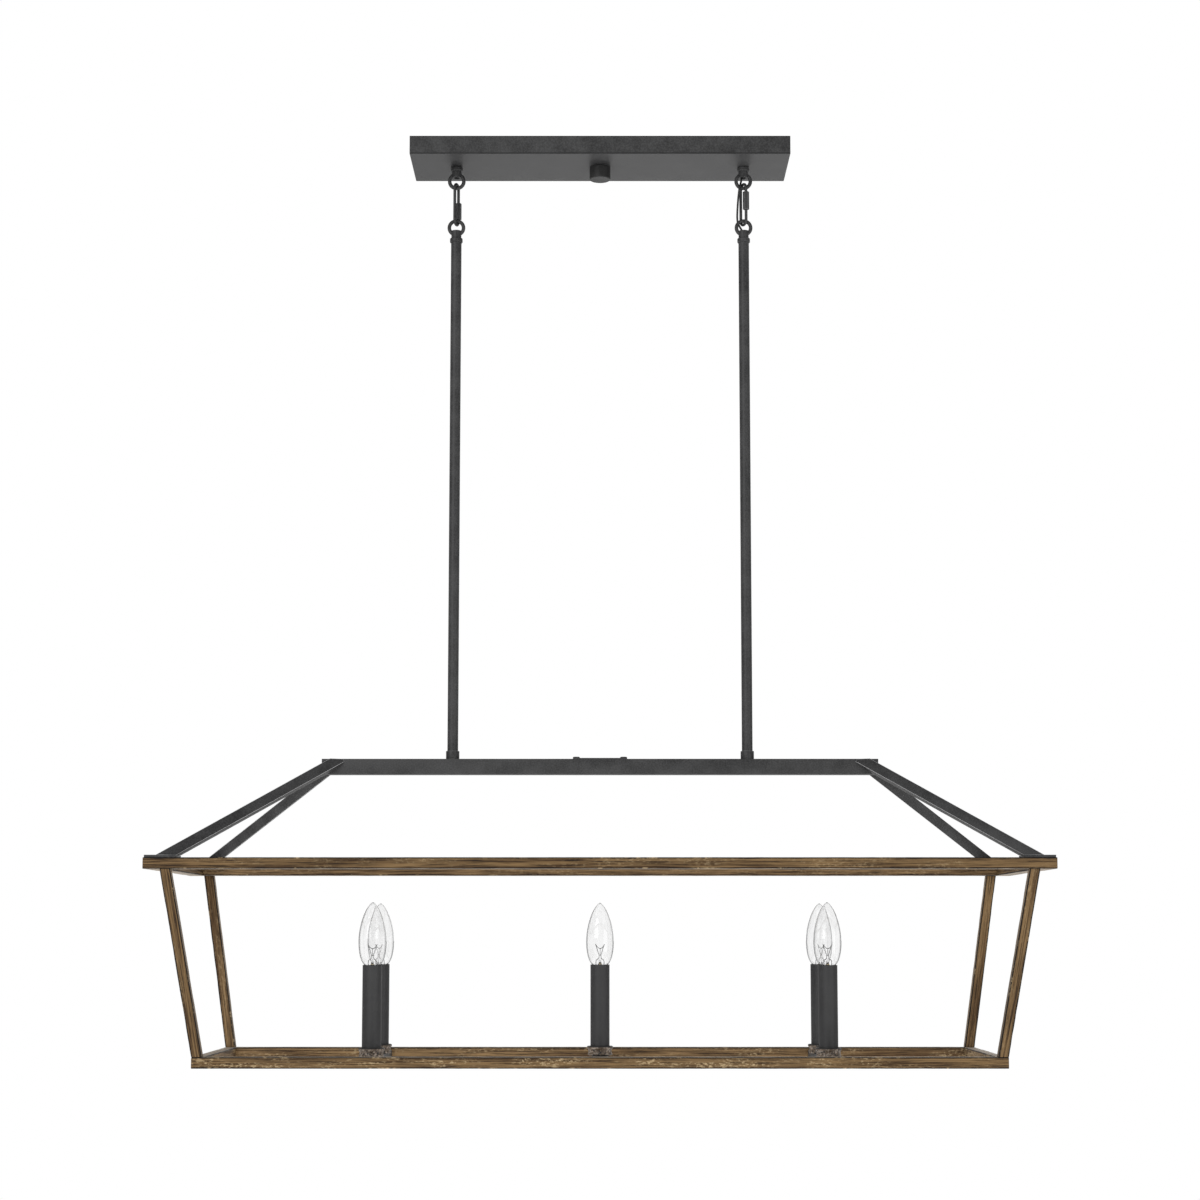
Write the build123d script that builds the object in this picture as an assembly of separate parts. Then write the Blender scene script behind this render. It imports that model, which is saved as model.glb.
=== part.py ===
from build123d import *
import math
import os

# Linear island pendant for five candle lamps, in millimetres.
# Z = 0 is the ceiling and +Z is up. X runs along the lamp. -Y is its front.
# A canopy on the ceiling carries two loops, two quick links and two stems. The stems
# carry a ridge bar, four hip bars and a tapered open cage of wood-finished tube.

os.makedirs("parts", exist_ok=True)

# ---- Clearances -------------------------------------------------------------------
RUN_GAP = 0.3            # between surfaces that move past each other
LINK_SLACK = 0.8         # between a link's wire and the ring that it hangs in
THREAD_GAP = 0.1         # radial gap at a threaded or pressed joint
HOLE_GAP = 0.25          # radial gap round a screw or nipple in its hole
WIRE_GAP = 0.5           # radial gap round a wire in its hole
SOCKET_AIR = 1.25        # radial air between a socket and its sleeve
NUT_ROOM = 1.3           # between a nut's flats and the channel's inner walls
STUD_END_GAP = 2.3       # between the stud's end and the knob's blind end

# ---- Ceiling canopy ---------------------------------------------------------------
CANOPY_L = 455.0
CANOPY_W = 102.0
CANOPY_H = 22.0
CANOPY_SHEET = 1.2
CANOPY_EDGE_R = 0.8      # rolled outer edges
STEM_X = 174.0           # half the distance between the two stems

STRAP_L = 120.0
STRAP_W = 22.0
STRAP_T = 2.0
STRAP_DROP = 8.0         # how far the middle of the strap is lowered
STRAP_MID = 60.0         # length of the lowered middle
STRAP_BEND = 45.0        # slope of the strap's two steps, degrees
STRAP_SCREW_PITCH = 88.9
STRAP_SCREW_D = 4.8

STUD_D = 6.0
STUD_ABOVE = 4.0         # stud above the strap
STUD_NUT_AF = 10.0
STUD_NUT_H = 3.0
GROUND_SCREW_X = 18.0
GROUND_SCREW_D = 4.0
GROUND_HEAD_D = 7.4
GROUND_HEAD_H = 2.4
GROUND_SCREW_L = 6.0

KNOB_D = 25.3
KNOB_H = 15.3
KNOB_WALL_BOTTOM = 3.0
KNOB_CHAMFER = 0.7
STUD_IN_KNOB = KNOB_H - KNOB_WALL_BOTTOM - STUD_END_GAP

# ---- Loops ------------------------------------------------------------------------
RING_R = 8.6             # mean radius of the ring
RING_WIRE = 4.4          # thickness of the ring
RING_FLAT = 4.05         # flat side of the hole, from the ring's centre
LOOP_BORE = 6.5
BORE_FLARE = 0.8         # eased mouth of the bore
CANOPY_BEAD_D = 14.3
CANOPY_BEAD_H = 5.2
CANOPY_NECK_D = 11.7
CANOPY_RING_DROP = 17.3  # canopy to the ring's centre
STEM_BEAD_D = 15.3
STEM_BEAD_H = 5.5
STEM_NECK_D = 12.1
STEM_RING_RISE = 18.65   # stem's shoulder to the ring's centre
BEAD_ROUND = 1.2
SHANK_D = 9.6
SHANK_UP = 8.0           # shank above the canopy's underside
LOOP_NUT_AF = 14.0
LOOP_NUT_H = 4.0

# ---- Quick links ------------------------------------------------------------------
LINK_WIRE = 3.5
LINK_LEG_PITCH = 11.2
LINK_PITCH = 50.35       # top wire's centre to bottom wire's centre
LINK_TURN_RIGHT = 31.0   # degrees about Z
LINK_TURN_LEFT = -20.0
LINK_GAP = 9.0           # the opening that the nut closes
LINK_NUT_CORNERS = 7.8
LINK_NUT_L_RIGHT = 22.0
LINK_NUT_L_LEFT = 20.0
NUT_DOWN_RIGHT = 10.6    # nut's top below the link's top wire
NUT_DOWN_LEFT = 22.25
GAP_DOWN_RIGHT = 13.85   # opening's top below the link's top wire
GAP_DOWN_LEFT = 29.85

# ---- Stems and ridge --------------------------------------------------------------
STEM_D = 12.7
STEM_WALL = 1.2
STEM_L = 617.2           # shoulder to shoulder
TENON_D = 9.5
TENON_TOP = 8.0
TENON_PLUG = 6.0         # plug inside the tube behind the tenon
COUPLING_D = 15.8
COUPLING_H = 9.8
TENON_IN_RIDGE = 5.0     # tenon below the ridge bar's top face
RIDGE_NUT_AF = 13.0
RIDGE_NUT_H = 3.0

RIDGE_L = 655.0
RIDGE_W = 19.0
RIDGE_H = 18.0
RIDGE_WALL = 1.2
COVER_L = 63.8
COVER_W = 17.0
COVER_T = 1.2
COVER_SCREW_X = 27.9
COVER_HEAD_D = 8.4
COVER_HEAD_H = 1.8
COVER_HEAD_R = 1.08      # rounded rim of a screw's head
COVER_SHANK_D = 3.5
COVER_SHANK_L = 4.6

# ---- Hip bars and corner plates ---------------------------------------------------
HIP_SIDE = 12.0
HIP_WALL = 1.2
HIP_TOP_IN = 26.5        # axis at the ridge's middle plane, in from the ridge's end
HIP_TOP_UP = 2.8         # the same point above the ridge's top
HIP_FOOT_IN_X = 26.0     # axis at the plate's top, in from the frame's end
HIP_FOOT_IN_Y = 13.9     # axis at the plate's top, in from the frame's side
HIP_DROP = 117.7         # ridge's top to the plates' top
HIP_SPARE = 0.2          # share of the bar left at each end for the level and upright cuts
HIP_FACE_ANGLE = 26.5    # upper outer face's normal above the horizontal, degrees
PLATE_SIDE = 35.0
PLATE_T = 2.8
PLATE_INSET = 1.25

# ---- Cage -------------------------------------------------------------------------
FRAME_L = 1016.0
FRAME_W = 304.8
TOP_RAIL_W = 19.0
TOP_RAIL_H = 12.7
TUBE_WALL = 1.2
LEG_SIDE = 11.8
CAGE_DROP = 208.1        # under the top rails to the top of the bottom rails
BOTTOM_L = 909.2
BOTTOM_W = 250.5
BOTTOM_RAIL = 12.7
CHANNEL_W = 19.0
CHANNEL_H = 9.0
CHANNEL_WALL = 1.2

# ---- Candles ----------------------------------------------------------------------
CANDLE_X = 261.6
CANDLE_Y = 47.9
CUP_D = 30.0
CUP_H = 10.5
CUP_POCKET = 7.6
CUP_EDGE = 0.7
SLEEVE_D = 22.3
SLEEVE_WALL = 0.9
SLEEVE_L = 101.6
SLEEVE_GAP = 0.3
NIPPLE_D = 9.6
NIPPLE_BORE = 6.6
CUP_NUT_AF = 14.0
CHANNEL_NUT_AF = CHANNEL_W - 2 * CHANNEL_WALL - 2 * NUT_ROOM
NIPPLE_NUT_H = 3.0
NIPPLE_BELOW = 5.0       # nipple below the channel's top face
SOCKET_D = SLEEVE_D - 2 * SLEEVE_WALL - 2 * SOCKET_AIR
SOCKET_RECESS = 2.8      # socket's mouth below the sleeve's top
SOCKET_L = 29.7
SOCKET_FLOOR = 2.4
SOCKET_THREAD_L = 4.0    # nipple inside the socket
CONTACT_D = 5.0
CONTACT_T = 0.5
RIVET_D = 2.0
RIVET_BELOW = 0.5

# ---- Lamps ------------------------------------------------------------------------
BASE_D = 11.9
BASE_GAP = 0.45
BASE_L = 17.7
BASE_CONE_L = 2.5
BASE_CONE_D = 5.4
BASE_TIP_D = 4.8
BASE_TIP_L = 2.6
BASE_ABOVE = 0.5         # base's top above the socket's mouth
GLASS_D = 32.3
GLASS_H = 71.8           # above the sleeve's top
GLASS_WALL = 0.8
MOUNT_D = 8.6
MOUNT_TIP_D = 2.4
MOUNT_H = 27.0

# ---- Wires ------------------------------------------------------------------------
LEAD_D = 2.4
LEAD_OFF = 1.6           # lead's offset in the loops' bores
LEAD_IN_BORE = 9.0       # exposed lead's ends inside the bores
TRUNK_D = 3.0
BRANCH_D = 1.8
BRANCH_PITCH = 2.0
PAIR_Y = 2.2             # each wire's offset from the middle at the splice
LEAD_BEND = 4.5
BRANCH_BEND = 3.0
TRUNK_BEND = 12.0
CORD_BEND = 60.0
BEND_SHARE = 0.45        # most of a straight run that one bend may use
SPLICE_X = 20.0
SPLICE_L = 22.0
SPLICE_D = 9.6
SPLICE_TIP_D = 6.0
JUNCTION_L = 10.0
JUNCTION_H = 5.0
JUNCTION_IN = 25.0       # junction in from the bottom frame's end
SIDE_STEP = 4.0          # a front wire's sideways step past the back nipple
CONNECTOR_D = 10.0
CONNECTOR_TIP_D = 7.0
CONNECTOR_L = 21.0
CONNECTOR_X = 96.0
CONNECTOR_Y = 13.0
CONDUCTOR_D = 1.7
CONDUCTOR_BEND = 8.0
CONDUCTOR_LEVEL = 7.0    # level run of a conductor before its connector
SHEATH_BEND = 6.0
SHEATH_OVER = 5.0        # sheath above the loop's shank
SHEATH_PAST = 26.0       # sheath's end, short of the connectors
SHEATH_STRAIGHT = 5.0    # straight run of the conductors out of the sheath

# ---- Heights ----------------------------------------------------------------------
Z_CANOPY = -CANOPY_H
Z_STRAP = -STRAP_DROP - STRAP_T
Z_KNOB_BOTTOM = Z_CANOPY - KNOB_H
Z_CANOPY_RING = Z_CANOPY - CANOPY_RING_DROP
Z_SWING_TOP = Z_CANOPY_RING - RING_R
WIRE_STEP = RING_WIRE / 2 + LINK_WIRE / 2 + LINK_SLACK
Z_LINK_TOP = Z_SWING_TOP + WIRE_STEP
Z_LINK_BOTTOM = Z_LINK_TOP - LINK_PITCH
Z_SWING_LOW = Z_LINK_BOTTOM + WIRE_STEP
Z_STEM_RING = Z_SWING_LOW - RING_R
Z_STEM_TOP = Z_STEM_RING - STEM_RING_RISE
Z_STEM_BOTTOM = Z_STEM_TOP - STEM_L
Z_RIDGE_TOP = Z_STEM_BOTTOM - COUPLING_H
Z_RIDGE_BOTTOM = Z_RIDGE_TOP - RIDGE_H
Z_TENON_END = Z_RIDGE_TOP - TENON_IN_RIDGE
Z_PLATE_TOP = Z_RIDGE_TOP - HIP_DROP
Z_FRAME_TOP = Z_PLATE_TOP - PLATE_T
Z_FRAME_BOTTOM = Z_FRAME_TOP - TOP_RAIL_H
Z_BASE_TOP = Z_FRAME_BOTTOM - CAGE_DROP
Z_BASE_BOTTOM = Z_BASE_TOP - BOTTOM_RAIL
Z_CHANNEL_TOP = Z_BASE_BOTTOM + CHANNEL_H
Z_CUP_TOP = Z_CHANNEL_TOP + CUP_H
Z_CUP_FLOOR = Z_CUP_TOP - CUP_POCKET
Z_SLEEVE_TOP = Z_CUP_FLOOR + SLEEVE_L
Z_SOCKET_TOP = Z_SLEEVE_TOP - SOCKET_RECESS
Z_SOCKET_BOTTOM = Z_SOCKET_TOP - SOCKET_L
Z_NIPPLE_TOP = Z_SOCKET_BOTTOM + SOCKET_THREAD_L
Z_SOCKET_FLOOR = Z_NIPPLE_TOP + SOCKET_FLOOR
Z_NIPPLE_BOTTOM = Z_CHANNEL_TOP - NIPPLE_BELOW
Z_LAMP_BASE = Z_SOCKET_TOP + BASE_ABOVE
Z_SPLICE = Z_RIDGE_BOTTOM + RIDGE_WALL + WIRE_GAP + SPLICE_D / 2
Z_SHEATH = Z_CANOPY + SHANK_UP + SHEATH_OVER

CANDLES = {
    "front_right": (CANDLE_X, -CANDLE_Y),
    "back_right": (CANDLE_X, CANDLE_Y),
    "middle": (0.0, 0.0),
    "front_left": (-CANDLE_X, -CANDLE_Y),
    "back_left": (-CANDLE_X, CANDLE_Y),
}


# ---- Helpers ----------------------------------------------------------------------
def save(shape, name):
    """Write one node as a STEP file and print its volume."""
    shape.label = name
    export_step(shape, f"parts/{name}.step")
    print(f"{name}: {len(shape.solids())} solids, {shape.volume:.1f} mm3")


def block(x0, x1, y0, y1, z0, z1):
    """A box between two corners."""
    centre = Pos((x0 + x1) / 2, (y0 + y1) / 2, (z0 + z1) / 2)
    return centre * Box(abs(x1 - x0), abs(y1 - y0), abs(z1 - z0))


def rod(diameter, z_low, z_high, x=0.0, y=0.0):
    """A vertical cylinder."""
    return Pos(x, y, (z_low + z_high) / 2) * Cylinder(diameter / 2, z_high - z_low)


def taper(d_low, d_high, z_low, z_high):
    """A vertical cone on the Z axis."""
    return Pos(0, 0, (z_low + z_high) / 2) * Cone(d_low / 2, d_high / 2, z_high - z_low)


def hex_nut(across_flats, bore, z_low, z_high, x=0.0, y=0.0):
    """A hexagonal nut with a plain bore on a vertical axis."""
    flats = RegularPolygon(across_flats / 2, 6, major_radius=False)
    nut = extrude(Pos(0, 0, z_low) * flats, amount=z_high - z_low)
    nut -= rod(bore, z_low, z_high)
    return Pos(x, y, 0) * nut


def bend_radii(points, largest):
    """Arc radii for the corners of a route, each as large as its two runs allow."""
    radii = []
    for before, here, after in zip(points, points[1:], points[2:]):
        run_in = Vector(*here) - Vector(*before)
        run_out = Vector(*after) - Vector(*here)
        half_turn = math.radians(run_in.get_angle(run_out)) / 2
        shorter = min(run_in.length, run_out.length)
        radii.append(min(largest, BEND_SHARE * shorter / math.tan(half_turn)))
    return radii


def tube_along(points, radii, diameter):
    """A round wire along straight runs joined by tangent arcs."""
    route = FilletPolyline(*points, radius=radii)
    start = Plane(origin=route @ 0, z_dir=route % 0)
    return sweep(start * Circle(diameter / 2), path=route)


def each_candle(shape):
    """Copies of a shape on the Z axis at the five candle places."""
    return [Pos(x, y, 0) * shape for x, y in CANDLES.values()]


# ---- Ceiling side -----------------------------------------------------------------
def mounting_strap():
    """Crossbar with a lowered middle and two holes for the outlet box's screws."""
    end = STRAP_L / 2
    mid = STRAP_MID / 2
    knee = mid + STRAP_DROP / math.tan(math.radians(STRAP_BEND))
    lean = STRAP_T * math.tan(math.radians(STRAP_BEND / 2))
    upper = [(-end, 0), (-knee, 0), (-mid, -STRAP_DROP), (mid, -STRAP_DROP), (knee, 0), (end, 0)]
    lower = [
        (end, -STRAP_T),
        (knee - lean, -STRAP_T),
        (mid - lean, Z_STRAP),
        (-mid + lean, Z_STRAP),
        (-knee + lean, -STRAP_T),
        (-end, -STRAP_T),
    ]
    outline = make_face(Plane.XZ * Polyline(*upper, *lower, close=True))
    strap = extrude(outline, amount=STRAP_W / 2, both=True)
    for side in (-1, 1):
        strap -= rod(STRAP_SCREW_D, -STRAP_T, 0, side * STRAP_SCREW_PITCH / 2)
    strap -= rod(STUD_D + 2 * THREAD_GAP, Z_STRAP, -STRAP_DROP)
    strap -= rod(GROUND_SCREW_D + 2 * THREAD_GAP, Z_STRAP, -STRAP_DROP, GROUND_SCREW_X)
    return strap


def canopy_stud():
    """Threaded stud from the strap into the knob."""
    return rod(STUD_D, Z_CANOPY - STUD_IN_KNOB, -STRAP_DROP + STUD_ABOVE)


def strap_hardware():
    """Two nuts on the stud, and the ground screw."""
    bore = STUD_D + 2 * THREAD_GAP
    upper = hex_nut(STUD_NUT_AF, bore, -STRAP_DROP, -STRAP_DROP + STUD_NUT_H)
    lower = hex_nut(STUD_NUT_AF, bore, Z_STRAP - STUD_NUT_H, Z_STRAP)
    head = rod(GROUND_HEAD_D, Z_STRAP - GROUND_HEAD_H, Z_STRAP, GROUND_SCREW_X)
    screw = head + rod(GROUND_SCREW_D, Z_STRAP, Z_STRAP + GROUND_SCREW_L, GROUND_SCREW_X)
    return Compound([upper, lower, screw])


def canopy_pan():
    """Rectangular sheet-metal canopy, open towards the ceiling."""
    shell = block(-CANOPY_L / 2, CANOPY_L / 2, -CANOPY_W / 2, CANOPY_W / 2, Z_CANOPY, 0)
    outer_edges = shell.edges().filter_by(Axis.Z) + shell.faces().sort_by(Axis.Z)[0].edges()
    shell = fillet(outer_edges, CANOPY_EDGE_R)
    half_l = CANOPY_L / 2 - CANOPY_SHEET
    half_w = CANOPY_W / 2 - CANOPY_SHEET
    shell -= block(-half_l, half_l, -half_w, half_w, Z_CANOPY + CANOPY_SHEET, 0)
    shell -= rod(STUD_D + 2 * HOLE_GAP, Z_CANOPY, 0)
    for side in (-1, 1):
        shell -= rod(SHANK_D + 2 * HOLE_GAP, Z_CANOPY, 0, side * STEM_X)
    return shell


def canopy_knob():
    """Round knob on the stud, with a blind bore and a flat end."""
    knob = rod(KNOB_D, Z_KNOB_BOTTOM, Z_CANOPY)
    rims = knob.edges().filter_by(GeomType.CIRCLE)
    knob = chamfer(rims, KNOB_CHAMFER)
    return knob - rod(STUD_D + 2 * RUN_GAP, Z_KNOB_BOTTOM + KNOB_WALL_BOTTOM, Z_CANOPY)


def ring():
    """Upright ring in the XZ plane, centred on the origin."""
    return Rot(90, 0, 0) * Torus(RING_R, RING_WIRE / 2)


def bead(diameter, z_low, z_high):
    """Round bead with softened rims."""
    shape = rod(diameter, z_low, z_high)
    return fillet(shape.edges().filter_by(GeomType.CIRCLE), BEAD_ROUND)


def canopy_loop():
    """Loop under the canopy with a hollow shank that rises through it."""
    bead_low = Z_CANOPY - CANOPY_BEAD_H
    flat = Z_CANOPY_RING + RING_FLAT
    loop = Pos(0, 0, Z_CANOPY_RING) * ring()
    loop += rod(CANOPY_NECK_D, flat, bead_low + BEAD_ROUND)
    loop += bead(CANOPY_BEAD_D, bead_low, Z_CANOPY)
    loop += rod(SHANK_D, Z_CANOPY - BEAD_ROUND, Z_CANOPY + SHANK_UP)
    loop -= taper(LOOP_BORE + 2 * BORE_FLARE, LOOP_BORE, flat, flat + BORE_FLARE)
    return loop - rod(LOOP_BORE, flat - 1, Z_CANOPY + SHANK_UP)


def stem_loop():
    """Loop on top of a stem, with a threaded socket for the stem's tenon."""
    bead_high = Z_STEM_TOP + STEM_BEAD_H
    flat = Z_STEM_RING - RING_FLAT
    loop = Pos(0, 0, Z_STEM_RING) * ring()
    loop += rod(STEM_NECK_D, bead_high - BEAD_ROUND, flat)
    loop += bead(STEM_BEAD_D, Z_STEM_TOP, bead_high)
    loop -= taper(LOOP_BORE, LOOP_BORE + 2 * BORE_FLARE, flat - BORE_FLARE, flat)
    loop -= rod(LOOP_BORE, Z_STEM_TOP, flat + 1)
    return loop - rod(TENON_D + 2 * THREAD_GAP, Z_STEM_TOP, Z_STEM_TOP + TENON_TOP + THREAD_GAP)


def loop_nuts():
    """Nuts inside the canopy on the two loop shanks."""
    floor = Z_CANOPY + CANOPY_SHEET
    bore = SHANK_D + 2 * THREAD_GAP
    places = (-STEM_X, STEM_X)
    return Compound([hex_nut(LOOP_NUT_AF, bore, floor, floor + LOOP_NUT_H, x) for x in places])


# ---- Quick links ------------------------------------------------------------------
def quick_link(nut_leg, gap_down):
    """Oval link in the plane of its own U axis and Z, open at the nut's leg."""
    u = nut_leg * LINK_LEG_PITCH / 2
    bow = LINK_LEG_PITCH / 2
    high = Z_LINK_TOP - bow
    low = Z_LINK_BOTTOM + bow
    gap_top = Z_LINK_TOP - gap_down
    gap_bottom = gap_top - LINK_GAP
    route = Wire([
        Edge.make_line((u, 0, gap_top), (u, 0, high)),
        Edge.make_three_point_arc((u, 0, high), (0, 0, Z_LINK_TOP), (-u, 0, high)),
        Edge.make_line((-u, 0, high), (-u, 0, low)),
        Edge.make_three_point_arc((-u, 0, low), (0, 0, Z_LINK_BOTTOM), (u, 0, low)),
        Edge.make_line((u, 0, low), (u, 0, gap_bottom)),
    ])
    start = Plane(origin=(u, 0, gap_top), z_dir=(0, 0, 1))
    return sweep(start * Circle(LINK_WIRE / 2), path=route)


def link_nut(nut_leg, nut_down, length):
    """Long hexagonal nut on the link's open leg."""
    top = Z_LINK_TOP - nut_down
    flats = LINK_NUT_CORNERS * math.cos(math.radians(30))
    bore = LINK_WIRE + 2 * RUN_GAP
    return hex_nut(flats, bore, top - length, top, nut_leg * LINK_LEG_PITCH / 2)


# ---- Stems and ridge --------------------------------------------------------------
def stem():
    """Tube with a plugged and threaded tenon at each end."""
    bore = STEM_D - 2 * STEM_WALL
    tube = rod(STEM_D, Z_STEM_BOTTOM, Z_STEM_TOP)
    tube -= rod(bore, Z_STEM_BOTTOM + TENON_PLUG, Z_STEM_TOP - TENON_PLUG)
    tube += rod(TENON_D, Z_STEM_TOP, Z_STEM_TOP + TENON_TOP)
    tube += rod(TENON_D, Z_TENON_END, Z_STEM_BOTTOM)
    return tube - rod(LOOP_BORE, Z_TENON_END, Z_STEM_TOP + TENON_TOP)


def stem_couplings():
    """Collars on the ridge bar and the nuts under its top wall."""
    bore = TENON_D + 2 * THREAD_GAP
    under = Z_RIDGE_TOP - RIDGE_WALL
    pieces = []
    for x in (-STEM_X, STEM_X):
        collar = rod(COUPLING_D, Z_RIDGE_TOP, Z_STEM_BOTTOM, x) - rod(bore, Z_RIDGE_TOP, Z_STEM_BOTTOM, x)
        pieces.append(collar)
        pieces.append(hex_nut(RIDGE_NUT_AF, bore, under - RIDGE_NUT_H, under, x))
    return Compound(pieces)


def ridge_bar():
    """Closed rectangular tube, with holes for the stems and the cover's screws."""
    half = RIDGE_L / 2
    side = RIDGE_W / 2
    wall = RIDGE_WALL
    bar = block(-half, half, -side, side, Z_RIDGE_BOTTOM, Z_RIDGE_TOP)
    inner_low = Z_RIDGE_BOTTOM + wall
    inner_high = Z_RIDGE_TOP - wall
    bar -= block(-half + wall, half - wall, -side + wall, side - wall, inner_low, inner_high)
    for x in (-STEM_X, STEM_X):
        bar -= rod(TENON_D + 2 * HOLE_GAP, inner_high, Z_RIDGE_TOP, x)
    for x in (-COVER_SCREW_X, COVER_SCREW_X):
        bar -= rod(COVER_SHANK_D + 2 * THREAD_GAP, inner_high, Z_RIDGE_TOP, x)
    return bar


def ridge_cover():
    """Small plate over the splice opening."""
    half = COVER_L / 2
    plate = block(-half, half, -COVER_W / 2, COVER_W / 2, Z_RIDGE_TOP, Z_RIDGE_TOP + COVER_T)
    for x in (-COVER_SCREW_X, COVER_SCREW_X):
        plate -= rod(COVER_SHANK_D + 2 * HOLE_GAP, Z_RIDGE_TOP, Z_RIDGE_TOP + COVER_T, x)
    return plate


def cover_screws():
    """Pan-head screws through the cover."""
    seat = Z_RIDGE_TOP + COVER_T
    screws = []
    for x in (-COVER_SCREW_X, COVER_SCREW_X):
        head = rod(COVER_HEAD_D, seat, seat + COVER_HEAD_H, x)
        rim = head.edges().filter_by(GeomType.CIRCLE).sort_by(Axis.Z)[-1]
        head = fillet(rim, COVER_HEAD_R)
        screws.append(head + rod(COVER_SHANK_D, seat - COVER_SHANK_L, seat, x))
    return Compound(screws)


# ---- Hip bars ---------------------------------------------------------------------
def hip_axis(share, x_side=1, y_side=1):
    """Point on a hip bar's axis: share 0 at the ridge's middle plane, 1 at the plate."""
    top = Vector(RIDGE_L / 2 - HIP_TOP_IN, 0, Z_RIDGE_TOP + HIP_TOP_UP)
    foot = Vector(FRAME_L / 2 - HIP_FOOT_IN_X, FRAME_W / 2 - HIP_FOOT_IN_Y, Z_PLATE_TOP)
    point = top + (foot - top) * share
    return Vector(x_side * point.X, y_side * point.Y, point.Z)


def hip_bar(x_side, y_side):
    """Rolled square tube from the ridge bar's side to a corner plate."""
    start = hip_axis(-HIP_SPARE)
    end = hip_axis(1 + HIP_SPARE)
    along = (end - start).normalized()
    level = Vector(-along.Y, along.X, 0).normalized()
    raised = along.cross(level)
    if raised.Z < 0:
        raised = raised * -1
    roll = math.radians(HIP_FACE_ANGLE)
    normal = level * math.cos(roll) + raised * math.sin(roll)
    section_plane = Plane(origin=start, x_dir=normal, z_dir=along)
    inner = HIP_SIDE - 2 * HIP_WALL
    section = Rectangle(HIP_SIDE, HIP_SIDE) - Rectangle(inner, inner)
    bar = extrude(section_plane * section, amount=(end - start).length)
    reach = block(0, FRAME_L, RIDGE_W / 2, FRAME_W, Z_PLATE_TOP, Z_RIDGE_TOP)
    bar = bar & reach
    if x_side < 0 and y_side < 0:
        return Rot(0, 0, 180) * bar
    if x_side < 0:
        return mirror(bar, about=Plane.YZ)
    if y_side < 0:
        return mirror(bar, about=Plane.XZ)
    return bar


def corner_plates():
    """Square plates under the feet of the hip bars."""
    outer_x = FRAME_L / 2 - PLATE_INSET
    outer_y = FRAME_W / 2 - PLATE_INSET
    plates = []
    for sx in (-1, 1):
        for sy in (-1, 1):
            x_pair = sorted((sx * outer_x, sx * (outer_x - PLATE_SIDE)))
            y_pair = sorted((sy * outer_y, sy * (outer_y - PLATE_SIDE)))
            plates.append(block(*x_pair, *y_pair, Z_FRAME_TOP, Z_PLATE_TOP))
    return plates


# ---- Cage -------------------------------------------------------------------------
def box_tube(x0, x1, y0, y1, z0, z1, wall):
    """Closed rectangular tube between two corners."""
    inner = block(x0 + wall, x1 - wall, y0 + wall, y1 - wall, z0 + wall, z1 - wall)
    return block(x0, x1, y0, y1, z0, z1) - inner


def long_rail(y_side, half_l, half_w, width, z_low, z_high):
    """Front or back rail of a rectangle, over its full length."""
    y_pair = sorted((y_side * half_w, y_side * (half_w - width)))
    return box_tube(-half_l, half_l, *y_pair, z_low, z_high, TUBE_WALL)


def end_rail(x_side, half_l, half_w, width, z_low, z_high):
    """End rail of a rectangle, between its front and back rails."""
    x_pair = sorted((x_side * half_l, x_side * (half_l - width)))
    inside = half_w - width
    return box_tube(*x_pair, -inside, inside, z_low, z_high, TUBE_WALL)


def leg_axis(share, x_side=1, y_side=1):
    """Point on a leg's axis: share 0 under the top frame, 1 on the bottom frame."""
    top = Vector(FRAME_L / 2 - TOP_RAIL_W - LEG_SIDE / 2, FRAME_W / 2 - LEG_SIDE / 2, Z_FRAME_BOTTOM)
    foot = Vector(BOTTOM_L / 2 - LEG_SIDE / 2, BOTTOM_W / 2 - LEG_SIDE / 2, Z_BASE_TOP)
    point = top + (foot - top) * share
    return Vector(x_side * point.X, y_side * point.Y, point.Z)


def leg(x_side, y_side):
    """Leaning square post with level cuts at both ends."""
    top = leg_axis(0, x_side, y_side)
    foot = leg_axis(1, x_side, y_side)
    solids = []
    for side in (LEG_SIDE, LEG_SIDE - 2 * TUBE_WALL):
        sections = [Plane(origin=place) * Rectangle(side, side) for place in (foot, top)]
        solids.append(loft(sections, ruled=True))
    return solids[0] - solids[1]


def cross_channel(x):
    """Inverted U between the bottom rails, with holes for the socket nipples."""
    half_w = CHANNEL_W / 2
    reach = BOTTOM_W / 2 - BOTTOM_RAIL
    inner = half_w - CHANNEL_WALL
    channel = block(x - half_w, x + half_w, -reach, reach, Z_BASE_BOTTOM, Z_CHANNEL_TOP)
    top_wall = Z_CHANNEL_TOP - CHANNEL_WALL
    channel -= block(x - inner, x + inner, -reach, reach, Z_BASE_BOTTOM, top_wall)
    for cx, cy in CANDLES.values():
        if abs(cx - x) < half_w:
            channel -= rod(NIPPLE_D + 2 * HOLE_GAP, top_wall, Z_CHANNEL_TOP, cx, cy)
    return channel


# ---- Candles ----------------------------------------------------------------------
def candle_cup():
    """Shallow round cup that centres the sleeve."""
    cup = rod(CUP_D, Z_CHANNEL_TOP, Z_CUP_TOP)
    cup = chamfer(cup.edges().filter_by(GeomType.CIRCLE), CUP_EDGE)
    cup -= rod(SLEEVE_D + 2 * SLEEVE_GAP, Z_CUP_FLOOR, Z_CUP_TOP)
    return cup - rod(NIPPLE_D + 2 * HOLE_GAP, Z_CHANNEL_TOP, Z_CUP_FLOOR)


def candle_sleeve():
    """Plain tube over the socket."""
    inner = SLEEVE_D - 2 * SLEEVE_WALL
    return rod(SLEEVE_D, Z_CUP_FLOOR, Z_SLEEVE_TOP) - rod(inner, Z_CUP_FLOOR, Z_SLEEVE_TOP)


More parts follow.
